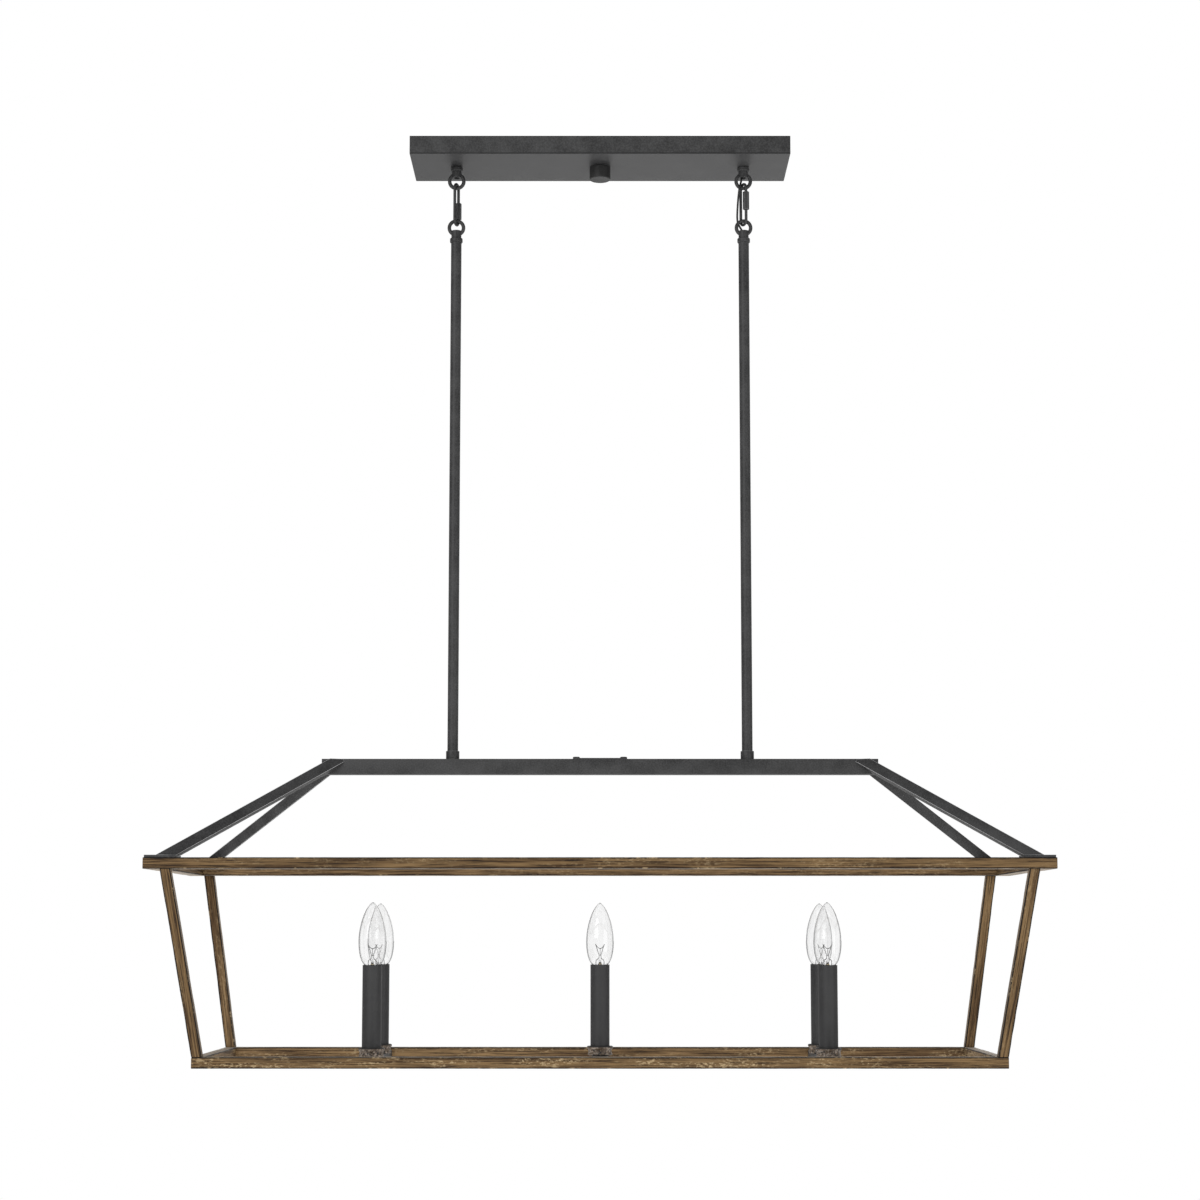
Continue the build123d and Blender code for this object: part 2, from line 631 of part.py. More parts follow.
def socket():
    """Socket body with a floor and a threaded foot for the nipple."""
    body = rod(SOCKET_D, Z_SOCKET_BOTTOM, Z_SOCKET_TOP)
    body -= rod(BASE_D + 2 * BASE_GAP, Z_SOCKET_FLOOR, Z_SOCKET_TOP)
    body -= rod(RIVET_D + 2 * THREAD_GAP, Z_NIPPLE_TOP, Z_SOCKET_FLOOR)
    return body - rod(NIPPLE_D + 2 * THREAD_GAP, Z_SOCKET_BOTTOM, Z_NIPPLE_TOP)


def socket_contact():
    """Centre contact with its rivet through the socket's floor."""
    disc = rod(CONTACT_D, Z_SOCKET_FLOOR, Z_SOCKET_FLOOR + CONTACT_T)
    return disc + rod(RIVET_D, Z_NIPPLE_TOP - RIVET_BELOW, Z_SOCKET_FLOOR)


def socket_nipple():
    """Threaded tube from the channel to the socket."""
    tube = rod(NIPPLE_D, Z_NIPPLE_BOTTOM, Z_NIPPLE_TOP)
    return tube - rod(NIPPLE_BORE, Z_NIPPLE_BOTTOM, Z_NIPPLE_TOP)


def nipple_nut_pair():
    """One nut on the cup's floor and one under the channel's top wall."""
    bore = NIPPLE_D + 2 * THREAD_GAP
    under = Z_CHANNEL_TOP - CHANNEL_WALL
    upper = hex_nut(CUP_NUT_AF, bore, Z_CUP_FLOOR, Z_CUP_FLOOR + NIPPLE_NUT_H)
    lower = hex_nut(CHANNEL_NUT_AF, bore, under - NIPPLE_NUT_H, under)
    return Compound([upper, lower])


# ---- Lamps ------------------------------------------------------------------------
def glass_profile(inset):
    """Half outline of the torpedo glass, moved inwards by a wall."""
    widest = GLASS_D / 2
    shares = [
        (0.745, 0.070),
        (0.954, 0.233),
        (1.000, 0.397),
        (0.923, 0.561),
        (0.762, 0.724),
        (0.495, 0.889),
    ]
    neck = (BASE_D / 2 - inset, Z_LAMP_BASE)
    tip = (0, Z_SLEEVE_TOP + GLASS_H - inset)
    side_points = [(widest * r - inset, Z_SLEEVE_TOP + GLASS_H * h) for r, h in shares]
    side = Spline(neck, *side_points, tip, tangents=[(1, 1), (-1, 0)])
    middle = Line(tip, (0, Z_LAMP_BASE))
    foot = Line((0, Z_LAMP_BASE), neck)
    return make_face(Plane.XZ * (side + middle + foot))


def lamp_glass():
    """Hollow torpedo envelope and the glass mount inside it."""
    envelope = revolve(glass_profile(0), axis=Axis.Z) - revolve(glass_profile(GLASS_WALL), axis=Axis.Z)
    mount = taper(MOUNT_D, MOUNT_TIP_D, Z_LAMP_BASE, Z_LAMP_BASE + MOUNT_H)
    return envelope, mount


def lamp_base():
    """Small screw base with its insulator and centre contact."""
    cone_top = Z_LAMP_BASE - BASE_L
    tip_top = cone_top - BASE_CONE_L
    base = rod(BASE_D, cone_top, Z_LAMP_BASE)
    base += taper(BASE_CONE_D, BASE_D, tip_top, cone_top)
    return base + rod(BASE_TIP_D, tip_top - BASE_TIP_L, tip_top)


# ---- Wires ------------------------------------------------------------------------
LEAD_X = STEM_X - LEAD_OFF
Z_LEAD_HIGH = Z_CANOPY_RING + RING_FLAT + LEAD_IN_BORE
Z_LEAD_LOW = Z_STEM_RING - RING_FLAT - LEAD_IN_BORE


def exposed_lead():
    """Route of the lead between the right loops, from the canopy downwards."""
    ring_high = Z_CANOPY_RING
    ring_low = Z_STEM_RING
    return [
        (LEAD_X, 0, Z_LEAD_HIGH),
        (LEAD_X, 0, ring_high + 3.2),
        (STEM_X - 4.7, -4.6, ring_high - 8.0),
        (STEM_X - 6.2, -2.6, ring_high - 19.0),
        (STEM_X - 7.4, 0.8, ring_high - 36.6),
        (STEM_X - 7.4, 4.9, ring_low + 8.8),
        (STEM_X - 4.0, 2.2, ring_low + 1.0),
        (LEAD_X, 0, ring_low - 3.4),
        (LEAD_X, 0, Z_LEAD_LOW),
    ]


def lead_cord():
    """Exposed stretch of the supply lead."""
    route = exposed_lead()
    radii = bend_radii(route, CORD_BEND)
    cord = tube_along(route, radii, LEAD_D)
    length = FilletPolyline(*route, radius=radii).length
    expected = math.pi * LEAD_D**2 / 4 * length
    print("lead_cord radii:", [round(r, 1) for r in radii])
    print(f"lead_cord length {length:.1f}, volume {cord.volume:.1f}, section x length {expected:.1f}")
    return cord


def canopy_lead():
    """Lead inside the canopy and its two conductors, as far as the connectors."""
    sheath_end = CONNECTOR_X + SHEATH_PAST
    sheath = [(LEAD_X, 0, Z_LEAD_HIGH), (LEAD_X, 0, Z_SHEATH), (sheath_end, 0, Z_SHEATH)]
    pieces = [tube_along(sheath, bend_radii(sheath, SHEATH_BEND), LEAD_D)]
    for side in (-1, 1):
        near = side * (CONDUCTOR_D / 2 + THREAD_GAP)
        far = side * CONNECTOR_Y
        conductor = [
            (sheath_end, near, Z_SHEATH),
            (sheath_end - SHEATH_STRAIGHT, near, Z_SHEATH),
            (CONNECTOR_X + CONDUCTOR_LEVEL, far, Z_SHEATH),
            (CONNECTOR_X, far, Z_SHEATH),
        ]
        pieces.append(tube_along(conductor, bend_radii(conductor, CONDUCTOR_BEND), CONDUCTOR_D))
    return Compound(pieces)


def wire_connectors():
    """Twist-on connectors at the ends of the lead's conductors."""
    shell = Cone(CONNECTOR_D / 2, CONNECTOR_TIP_D / 2, CONNECTOR_L)
    lying = Rot(0, -90, 0) * shell
    x = CONNECTOR_X - CONNECTOR_L / 2
    return Compound([Pos(x, side * CONNECTOR_Y, Z_SHEATH) * lying for side in (-1, 1)])


def stem_lead():
    """Lead in the right stem and the ridge bar, as far as the splice."""
    route = [
        (LEAD_X, 0, Z_LEAD_LOW),
        (LEAD_X, 0, Z_SPLICE),
        (STEM_X - 30.0, -PAIR_Y, Z_SPLICE),
        (SPLICE_X, -PAIR_Y, Z_SPLICE),
    ]
    return tube_along(route, bend_radii(route, LEAD_BEND), LEAD_D)


def splice():
    """Splice cap in the ridge bar, under the cover."""
    cap = Rot(0, -90, 0) * Cone(SPLICE_D / 2, SPLICE_TIP_D / 2, SPLICE_L)
    return Pos(SPLICE_X - SPLICE_L / 2, 0, Z_SPLICE) * cap


def trunk_route():
    """Route from the splice through the back right hip bar and leg."""
    rail_y = BOTTOM_W / 2 - BOTTOM_RAIL / 2
    rail_z = (Z_BASE_TOP + Z_BASE_BOTTOM) / 2
    leg_foot = leg_axis(0.985)
    return [
        (SPLICE_X, PAIR_Y, Z_SPLICE),
        (STEM_X - 24.0, 3.6, Z_SPLICE + 0.8),
        (STEM_X + 66.0, 3.4, Z_SPLICE + 1.4),
        (hip_axis(0).X - 3.0, 2.6, Z_RIDGE_TOP - 4.4),
        tuple(hip_axis(0.13)),
        tuple(hip_axis(0.91)),
        (leg_axis(0).X + 1.0, leg_axis(0).Y + 0.3, Z_FRAME_TOP - 4.0),
        tuple(leg_axis(0.07)),
        tuple(leg_foot),
        (leg_foot.X - 1.5, rail_y, rail_z),
        (BOTTOM_L / 2 - JUNCTION_IN, rail_y, rail_z),
    ]


def branch_route(index, x, y):
    """Route of one socket's wire from the junction to its contact, in its own lane."""
    lane = BOTTOM_W / 2 - BOTTOM_RAIL / 2 + BRANCH_PITCH * (index - len(CANDLES) // 2)
    height = Z_NIPPLE_BOTTOM - BRANCH_D
    start = (BOTTOM_L / 2 - JUNCTION_IN - JUNCTION_L, lane, height)
    end = (x, y, Z_NIPPLE_TOP - RIVET_BELOW)
    if y < 0:
        aside = x + SIDE_STEP
        return [start, (aside, lane, height), (aside, y + 12.0, height), (x, y, height), end]
    return [start, (x, lane, height), (x, y, height), end]


def wire_runs():
    """Every wire of the hanging part: route, radii and diameter."""
    trunk = trunk_route()
    runs = [(trunk, bend_radii(trunk, TRUNK_BEND), TRUNK_D)]
    for index, (x, y) in enumerate(CANDLES.values()):
        route = branch_route(index, x, y)
        runs.append((route, bend_radii(route, BRANCH_BEND), BRANCH_D))
    return runs


def junction():
    """Moulded block where the trunk divides into the five branches."""
    x_high = BOTTOM_L / 2 - JUNCTION_IN
    y_mid = BOTTOM_W / 2 - BOTTOM_RAIL / 2
    half_y = 2 * BRANCH_PITCH + BRANCH_D / 2
    z_low = Z_NIPPLE_BOTTOM - 1.5 * BRANCH_D
    return block(x_high - JUNCTION_L, x_high, y_mid - half_y, y_mid + half_y, z_low, z_low + JUNCTION_H)


# ---- Build and write every node ---------------------------------------------------
runs = wire_runs()
clear_runs = [tube_along(route, radii, d + 2 * WIRE_GAP) for route, radii, d in runs]
trunk_clear = clear_runs[0]

save(mounting_strap(), "mounting_strap")
save(canopy_stud(), "canopy_stud")
save(strap_hardware(), "strap_hardware")
save(canopy_pan(), "canopy_pan")
save(loop_nuts(), "loop_nuts")
save(canopy_knob(), "canopy_knob")
save(canopy_lead(), "canopy_lead")
save(wire_connectors(), "wire_connectors")
save(lead_cord(), "lead_cord")

links = {
    "right": (STEM_X, LINK_TURN_RIGHT, 1, GAP_DOWN_RIGHT, NUT_DOWN_RIGHT, LINK_NUT_L_RIGHT),
    "left": (-STEM_X, LINK_TURN_LEFT, -1, GAP_DOWN_LEFT, NUT_DOWN_LEFT, LINK_NUT_L_LEFT),
}
for name, (x, turn, nut_leg, gap_down, nut_down, nut_length) in links.items():
    place = Pos(x, 0, 0)
    # At no turn the link stands in the YZ plane with its nut leg in front.
    turned = place * Rot(0, 0, turn - 90)
    save(place * canopy_loop(), f"canopy_loop_{name}")
    save(turned * quick_link(nut_leg, gap_down), f"quick_link_{name}")
    save(turned * link_nut(nut_leg, nut_down, nut_length), f"link_nut_{name}")
    save(place * stem_loop(), f"stem_loop_{name}")
    save(place * stem(), f"stem_{name}")

save(stem_couplings(), "stem_couplings")
save(ridge_bar() - trunk_clear, "ridge_bar")
save(ridge_cover(), "ridge_cover")
save(cover_screws(), "cover_screws")
save(Compound([plate - trunk_clear for plate in corner_plates()]), "corner_plates")

corners = {
    "front_left": (-1, -1),
    "front_right": (1, -1),
    "back_left": (-1, 1),
    "back_right": (1, 1),
}
for name, (sx, sy) in corners.items():
    bar = hip_bar(sx, sy)
    post = leg(sx, sy)
    if name == "back_right":
        bar -= trunk_clear
        post -= trunk_clear
    save(bar, f"hip_bar_{name}")
    save(post, f"leg_{name}")

top_frame = (FRAME_L / 2, FRAME_W / 2, TOP_RAIL_W, Z_FRAME_BOTTOM, Z_FRAME_TOP)
bottom_frame = (BOTTOM_L / 2, BOTTOM_W / 2, BOTTOM_RAIL, Z_BASE_BOTTOM, Z_BASE_TOP)
top_back = long_rail(1, *top_frame) - trunk_clear
bottom_back = long_rail(1, *bottom_frame)
for cutter in clear_runs:
    bottom_back -= cutter
save(long_rail(-1, *top_frame), "top_rail_front")
save(top_back, "top_rail_back")
save(end_rail(-1, *top_frame), "top_rail_left")
save(end_rail(1, *top_frame), "top_rail_right")
save(long_rail(-1, *bottom_frame), "bottom_rail_front")
save(bottom_back, "bottom_rail_back")
save(end_rail(-1, *bottom_frame), "bottom_rail_left")
save(end_rail(1, *bottom_frame), "bottom_rail_right")
save(cross_channel(-CANDLE_X), "cross_channel_left")
save(cross_channel(0.0), "cross_channel_middle")
save(cross_channel(CANDLE_X), "cross_channel_right")

save(Compound(each_candle(candle_cup())), "candle_cups")
save(Compound(each_candle(candle_sleeve())), "candle_sleeves")
save(Compound(each_candle(socket())), "sockets")
save(Compound(each_candle(socket_contact())), "socket_contacts")
save(Compound(each_candle(socket_nipple())), "socket_nipples")
nut_pairs = [nut for pair in each_candle(nipple_nut_pair()) for nut in pair.solids()]
save(Compound(nut_pairs), "nipple_nuts")

wires = [tube_along(route, radii, d) for route, radii, d in runs]
save(Compound([stem_lead(), splice(), junction(), *wires]), "pendant_wires")

envelope, mount = lamp_glass()
base = lamp_base()
for name, (x, y) in CANDLES.items():
    save(Compound([Pos(x, y, 0) * envelope, Pos(x, y, 0) * mount]), f"bulb_glass_{name}")
    save(Pos(x, y, 0) * base, f"bulb_base_{name}")
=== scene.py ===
"""Looks of a linear island pendant: dark iron, wood-finished tube and clear candle lamps."""

import logging
import math
from dataclasses import dataclass, field
from enum import Enum

import bmesh
import bpy
from mathutils import Matrix, Vector, noise


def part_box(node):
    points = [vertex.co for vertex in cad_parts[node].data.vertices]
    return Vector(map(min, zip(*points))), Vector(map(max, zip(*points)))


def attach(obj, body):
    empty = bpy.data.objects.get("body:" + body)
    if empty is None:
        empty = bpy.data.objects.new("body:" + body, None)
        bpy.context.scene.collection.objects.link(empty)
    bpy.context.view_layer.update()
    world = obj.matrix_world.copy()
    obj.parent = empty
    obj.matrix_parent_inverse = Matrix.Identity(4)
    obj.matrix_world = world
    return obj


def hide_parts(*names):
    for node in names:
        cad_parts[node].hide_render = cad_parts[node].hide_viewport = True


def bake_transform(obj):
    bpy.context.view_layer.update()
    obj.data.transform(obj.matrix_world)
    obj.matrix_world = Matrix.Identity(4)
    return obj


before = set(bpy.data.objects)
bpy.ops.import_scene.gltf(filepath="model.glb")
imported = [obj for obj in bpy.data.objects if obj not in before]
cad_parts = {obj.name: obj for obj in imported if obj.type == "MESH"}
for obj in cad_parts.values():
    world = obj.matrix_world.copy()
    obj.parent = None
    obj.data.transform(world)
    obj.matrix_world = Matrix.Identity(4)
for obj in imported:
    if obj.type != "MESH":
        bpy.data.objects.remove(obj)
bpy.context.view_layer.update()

MM = 0.001
SAME_PLACE = 0.01 * MM
LOG = logging.getLogger("island_pendant")

BMesh = bmesh.types.BMesh
Material = bpy.types.Material
Node = bpy.types.Node
NodeTree = bpy.types.NodeTree
Object = bpy.types.Object
Socket = bpy.types.NodeSocket
Colour = tuple[float, float, float]


class Body(Enum):
    """Bodies that new pieces ride on, apart from the five lamps' own."""

    CANOPY = "canopy"
    LINK_RIGHT = "link_right"
    NUT_RIGHT = "nut_right"
    NUT_LEFT = "nut_left"
    PENDANT = "pendant"


# ---- Node trees ---------------------------------------------------------------------
class Graph:
    """Short calls for laying out a node tree."""

    def __init__(self, tree: NodeTree) -> None:
        """Take the tree that nodes are added to.

        Args:
            tree: Tree of a material, a world or a group.
        """
        self.tree = tree

    def node(self, kind: str, inputs: dict | None = None, **settings: object) -> Node:
        """Add a node, set its properties, and fill or link its inputs.

        Args:
            kind: Blender's name of the node type.
            inputs: Values or sockets by input name or index.
            **settings: Properties of the node.

        Returns:
            The new node.
        """
        made = self.tree.nodes.new(kind)
        for name, value in settings.items():
            setattr(made, name, value)
        for key, value in (inputs or {}).items():
            if isinstance(value, Socket):
                self.link(value, made.inputs[key])
            else:
                made.inputs[key].default_value = value
        return made

    def link(self, source: Socket, target: Socket) -> None:
        """Join an output to an input."""
        self.tree.links.new(source, target)

    def group(self, tree: NodeTree, inputs: dict) -> Node:
        """Place a group with its own values."""
        return self.node("ShaderNodeGroup", inputs, node_tree=tree)

    def coordinates(self) -> Socket:
        """Object coordinates, which are metres in the part's own frame."""
        return self.node("ShaderNodeTexCoord").outputs["Object"]

    def painted(self, name: str) -> Socket:
        """Value painted on the mesh under a name."""
        return self.node("ShaderNodeAttribute", attribute_name=name).outputs["Fac"]

    def noise(self, vector: Socket, scale: Socket | float, detail: float, rough: float = 0.55) -> Socket:
        """Noise value between 0 and 1 on a vector."""
        settings = {"Vector": vector, "Scale": scale, "Detail": detail, "Roughness": rough}
        return self.node("ShaderNodeTexNoise", settings).outputs["Fac"]

    def ramp(self, value: Socket, low: float, high: float) -> Socket:
        """Smooth step of a value from 0 at low to 1 at high."""
        settings = {"Value": value, "From Min": low, "From Max": high}
        return self.node("ShaderNodeMapRange", settings, interpolation_type="SMOOTHSTEP").outputs["Result"]

    def math(self, operation: str, first: Socket | float, second: Socket | float = 0.0) -> Socket:
        """One arithmetic step, clamped to the range 0 to 1."""
        made = self.node("ShaderNodeMath", {0: first, 1: second}, operation=operation, use_clamp=True)
        return made.outputs["Value"]

    def stretch(self, vector: Socket, factors: tuple[float, float, float]) -> Socket:
        """A vector with its three parts multiplied."""
        made = self.node("ShaderNodeVectorMath", {0: vector, 1: factors}, operation="MULTIPLY")
        return made.outputs["Vector"]

    def mix(self, share: Socket, first: Socket | Colour, second: Socket | Colour) -> Socket:
        """Mix two colours.

        Args:
            share: Share of the second colour.
            first: Colour at share 0.
            second: Colour at share 1.

        Returns:
            The mixed colour.
        """
        made = self.node("ShaderNodeMix", data_type="RGBA")
        self.link(share, made.inputs[0])
        ends = [s for s in made.inputs if s.type == "RGBA"]
        for target, value in zip(ends, (first, second)):
            if isinstance(value, Socket):
                self.link(value, target)
            else:
                target.default_value = (*value, 1.0)
        return next(s for s in made.outputs if s.type == "RGBA")

    def roughen(self, shader: Node, mask: Socket, low: float, high: float) -> None:
        """Drive a shader's roughness from low to high by a mask."""
        ranged = self.node("ShaderNodeMapRange", {"Value": mask, "To Min": low, "To Max": high})
        self.link(ranged.outputs["Result"], shader.inputs["Roughness"])

    def emboss(self, shader: Node, height: Socket, strength: float, depth: float) -> None:
        """Bump a shader's normal by a height."""
        bump = self.node("ShaderNodeBump", {"Height": height, "Strength": strength, "Distance": depth})
        self.link(bump.outputs["Normal"], shader.inputs["Normal"])


def new_group(
    name: str, inputs: tuple[str, ...], outputs: tuple[str, ...]
) -> tuple[Graph, dict[str, Socket], dict[str, Socket]]:
    """Start a node group whose sockets are floats, apart from one named Vector.

    Args:
        name: Name of the group.
        inputs: Names of its inputs.
        outputs: Names of its outputs.

    Returns:
        The group's graph, its input sockets, and its output targets by name.
    """
    tree = bpy.data.node_groups.new(name, "ShaderNodeTree")
    for direction, labels in (("INPUT", inputs), ("OUTPUT", outputs)):
        for label in labels:
            kind = "NodeSocketVector" if label == "Vector" else "NodeSocketFloat"
            tree.interface.new_socket(name=label, in_out=direction, socket_type=kind)
    graph = Graph(tree)
    entry = graph.node("NodeGroupInput")
    leave = graph.node("NodeGroupOutput")
    return graph, {k: entry.outputs[k] for k in inputs}, {k: leave.inputs[k] for k in outputs}


def mottle_group() -> NodeTree:
    """Fine cast speckle over broad soft patches, as a mask and a height.

    Returns:
        The group.
    """
    names = ("Vector", "Speck", "Patch"), ("Mask", "Height")
    graph, given, result = new_group("cast_mottle", *names)
    speck = graph.noise(given["Vector"], given["Speck"], 5.0, 0.62)
    patch = graph.noise(given["Vector"], given["Patch"], 3.0, 0.5)
    fine = graph.math("MULTIPLY", graph.ramp(speck, 0.38, 0.66), 0.55)
    broad = graph.math("MULTIPLY", graph.ramp(patch, 0.32, 0.70), 0.45)
    graph.link(graph.math("ADD", broad, fine), result["Mask"])
    graph.link(speck, result["Height"])
    return graph.tree


def grain_group() -> NodeTree:
    """Wood grain along the first axis: tone, light flecks, dark pores and height.

    Returns:
        The group.
    """
    names = ("Vector",), ("Tone", "Fleck", "Pore", "Height")
    graph, given, result = new_group("wood_grain", *names)
    vector = given["Vector"]
    warp = graph.noise(graph.stretch(vector, (6.0, 45.0, 45.0)), 1.0, 2.0)
    straight = graph.stretch(vector, (13.0, 760.0, 760.0))
    bent = graph.node("ShaderNodeVectorMath", {0: straight, 1: warp}, operation="ADD").outputs["Vector"]
    broad = graph.noise(graph.stretch(vector, (5.0, 100.0, 100.0)), 1.0, 3.0, 0.6)
    streak = graph.noise(bent, 1.0, 5.0, 0.7)
    fine = graph.noise(graph.stretch(vector, (45.0, 1300.0, 1300.0)), 1.0, 4.0, 0.7)
    mixed = graph.math("ADD", graph.math("MULTIPLY", broad, 0.35), graph.math("MULTIPLY", streak, 0.65))
    graph.link(graph.ramp(mixed, 0.40, 0.60), result["Tone"])
    chip_seed = graph.noise(graph.stretch(vector, (210.0, 560.0, 560.0)), 1.0, 5.0, 0.72)
    chip_place = graph.noise(graph.stretch(vector, (11.0, 60.0, 60.0)), 1.0, 3.0, 0.6)
    fleck = graph.math("MULTIPLY", graph.ramp(chip_seed, 0.50, 0.62), graph.ramp(chip_place, 0.47, 0.62))
    graph.link(fleck, result["Fleck"])
    pore = graph.math("MULTIPLY", graph.ramp(fine, 0.57, 0.40), graph.ramp(streak, 0.60, 0.40))
    graph.link(pore, result["Pore"])
    height = graph.math("ADD", graph.math("MULTIPLY", streak, 0.5), graph.math("MULTIPLY", fine, 0.5))
    graph.link(height, result["Height"])
    return graph.tree


def edge_group() -> NodeTree:
    """Broken edge tone: a painted edge mask broken up by noise.

    Returns:
        The group.
    """
    graph, given, result = new_group("broken_edge", ("Vector", "Edge"), ("Dark", "Worn"))
    ragged = graph.noise(given["Vector"], 160.0, 5.0, 0.7)
    patches = graph.noise(given["Vector"], 28.0, 3.0, 0.6)
    spread = graph.math("ADD", given["Edge"], graph.math("SUBTRACT", ragged, 0.5))
    graph.link(graph.ramp(spread, 0.30, 0.72), result["Dark"])
    scraped = graph.math("MULTIPLY", graph.ramp(patches, 0.53, 0.66), graph.ramp(ragged, 0.46, 0.62))
    graph.link(graph.math("MULTIPLY", scraped, given["Edge"]), result["Worn"])
    return graph.tree


@dataclass(frozen=True)
class Groups:
    """The shared effects, each built once."""

    mottle: NodeTree = field(default_factory=mottle_group)
    grain: NodeTree = field(default_factory=grain_group)
    edge: NodeTree = field(default_factory=edge_group)


# ---- Finishes -----------------------------------------------------------------------
def start_material(name: str) -> tuple[Material, Graph, Node]:
    """New node material with one Principled shader.

    Args:
        name: Name of the material.

    Returns:
        The material, its graph and its shader node.
    """
    made = bpy.data.materials.new(name)
    made.use_nodes = True
    graph = Graph(made.node_tree)
    shader = next(n for n in made.node_tree.nodes if n.type == "BSDF_PRINCIPLED")
    return made, graph, shader


@dataclass(frozen=True)
class DarkIron:
    """Fine mottled matt iron paint, with a painted highlight on the edges that are marked on the mesh.

    Attributes:
        wall: Height of a folded sheet's walls that get painted shade lines along their upper and lower
            edges, or 0 for none.
    """

    name: str = "dark_iron"
    deep: Colour = (0.012, 0.012, 0.0125)
    light: Colour = (0.060, 0.060, 0.061)
    roughness: float = 0.52
    # Painted highlight on the eased edges, standing in for the light that their arrises catch.
    painted_light: Colour = (0.260, 0.260, 0.264)
    speck: float = 620.0
    patch: float = 38.0
    bump: float = 0.16
    wall: float = 0.0
    # Colour of the painted shade lines along the sheet's wall edges.
    line: Colour = (0.004, 0.004, 0.004)

    def material(self, groups: Groups) -> Material:
        """Build the material.

        Args:
            groups: Shared effects.

        Returns:
            The finished material.
        """
        made, graph, shader = start_material(self.name)
        coords = graph.coordinates()
        values = {"Vector": coords, "Speck": self.speck, "Patch": self.patch}
        mottle = graph.group(groups.mottle, values)
        tone = graph.mix(mottle.outputs["Mask"], self.deep, self.light)
        # Painted shade: dark lines where the sheet's rolled edges turn away from the light.
        if self.wall:
            tone = self._painted_shade_lines(graph, coords, tone)
        # Painted highlight: the marked edge strips are lightened towards the highlight colour, broken up
        # by noise.
        edge = graph.group(groups.edge, {"Vector": coords, "Edge": graph.painted("edge_wear_and_highlight")})
        edged = graph.mix(edge.outputs["Dark"], tone, self.painted_light)
        graph.link(edged, shader.inputs["Base Color"])
        graph.roughen(shader, mottle.outputs["Mask"], self.roughness - 0.08, self.roughness + 0.12)
        shader.inputs["Specular IOR Level"].default_value = 0.45
        graph.emboss(shader, mottle.outputs["Height"], self.bump, 0.4 * MM)
        return made

    def _painted_shade_lines(self, graph: Graph, coords: Socket, tone: Socket) -> Socket:
        """Add painted shade: dark lines along the upper and lower edges of a folded sheet's walls.

        Args:
            graph: Graph of the material.
            coords: Coordinates in metres, with the top of the walls at height 0.
            tone: Colour of the plain walls.

        Returns:
            The colour with the painted shade lines.
        """
        height = graph.node("ShaderNodeSeparateXYZ", {"Vector": coords}).outputs["Z"]
        share = graph.math("MULTIPLY", height, -1.0 / self.wall)
        upper = graph.ramp(share, 0.055, 0.035)
        lower = graph.math("MULTIPLY", graph.ramp(share, 0.925, 0.940), graph.ramp(share, 0.998, 0.990))
        return graph.mix(graph.math("ADD", upper, lower), tone, self.line)


@dataclass(frozen=True)
class WoodFinish:
    """Brown brushed wood finish with dark edges, pale scraped flecks, and painted light on the faces
    marked on the mesh.
    """

    name: str
    dark: Colour = (0.016, 0.008, 0.003)
    middle: Colour = (0.056, 0.028, 0.010)
    pale: Colour = (0.215, 0.132, 0.056)
    fleck: Colour = (0.46, 0.34, 0.19)
    # Pale grey tone painted on the faces that catch the most light: painted light.
    painted_light: Colour = (0.52, 0.45, 0.37)
    edge: Colour = (0.006, 0.004, 0.003)
    chips: float = 0.35
    roughness: float = 0.62
    bump: float = 0.35

    def material(self, groups: Groups) -> Material:
        """Build the material, whose grain follows each bar's own coordinates.

        Args:
            groups: Shared effects.

        Returns:
            The finished material.
        """
        made, graph, shader = start_material(self.name)
        place = graph.node("ShaderNodeAttribute", attribute_name="grain_place").outputs["Vector"]
        grain = graph.group(groups.grain, {"Vector": place})
        edge = graph.group(groups.edge, {"Vector": place, "Edge": graph.painted("edge_wear_and_highlight")})
        body = graph.mix(grain.outputs["Tone"], self.middle, self.pale)
        pores = graph.mix(grain.outputs["Pore"], body, self.dark)
        chips = graph.math("MULTIPLY", grain.outputs["Fleck"], self.chips)
        flecks = graph.mix(chips, pores, self.fleck)
        # Painted light: the faces marked on the mesh are lifted towards the pale tone, streaked by the
        # grain.
        level = graph.painted("face_painted_light")
        streaked = graph.math("ADD", graph.math("MULTIPLY", grain.outputs["Tone"], 0.4), 0.42)
        painted_light = graph.mix(graph.math("MULTIPLY", level, streaked), flecks, self.painted_light)
        edged = graph.mix(edge.outputs["Dark"], painted_light, self.edge)
        worn = graph.mix(edge.outputs["Worn"], edged, self.fleck)
        graph.link(worn, shader.inputs["Base Color"])
        graph.roughen(shader, grain.outputs["Tone"], self.roughness + 0.1, self.roughness - 0.06)
        shader.inputs["Specular IOR Level"].default_value = 0.22
        graph.emboss(shader, grain.outputs["Height"], self.bump, 0.6 * MM)
        return made


@dataclass(frozen=True)
class PlainFinish:
    """Metal or moulded plastic with slight tone and surface variation."""

    name: str
    first: Colour
    second: Colour
    metallic: float = 0.0
    roughness: float = 0.4
    speck: float = 400.0
    patch: float = 60.0
    bump: float = 0.08

    def material(self, groups: Groups) -> Material:
        """Build the material.

        Args:
            groups: Shared effects.

        Returns:
            The finished material.
        """
        made, graph, shader = start_material(self.name)
        coords = graph.coordinates()
        values = {"Vector": coords, "Speck": self.speck, "Patch": self.patch}
        mottle = graph.group(groups.mottle, values)
        tone = graph.mix(mottle.outputs["Mask"], self.first, self.second)
        graph.link(tone, shader.inputs["Base Color"])
        graph.roughen(shader, mottle.outputs["Mask"], self.roughness - 0.05, self.roughness + 0.08)
        shader.inputs["Metallic"].default_value = self.metallic
        graph.emboss(shader, mottle.outputs["Height"], self.bump, 0.2 * MM)
        return made


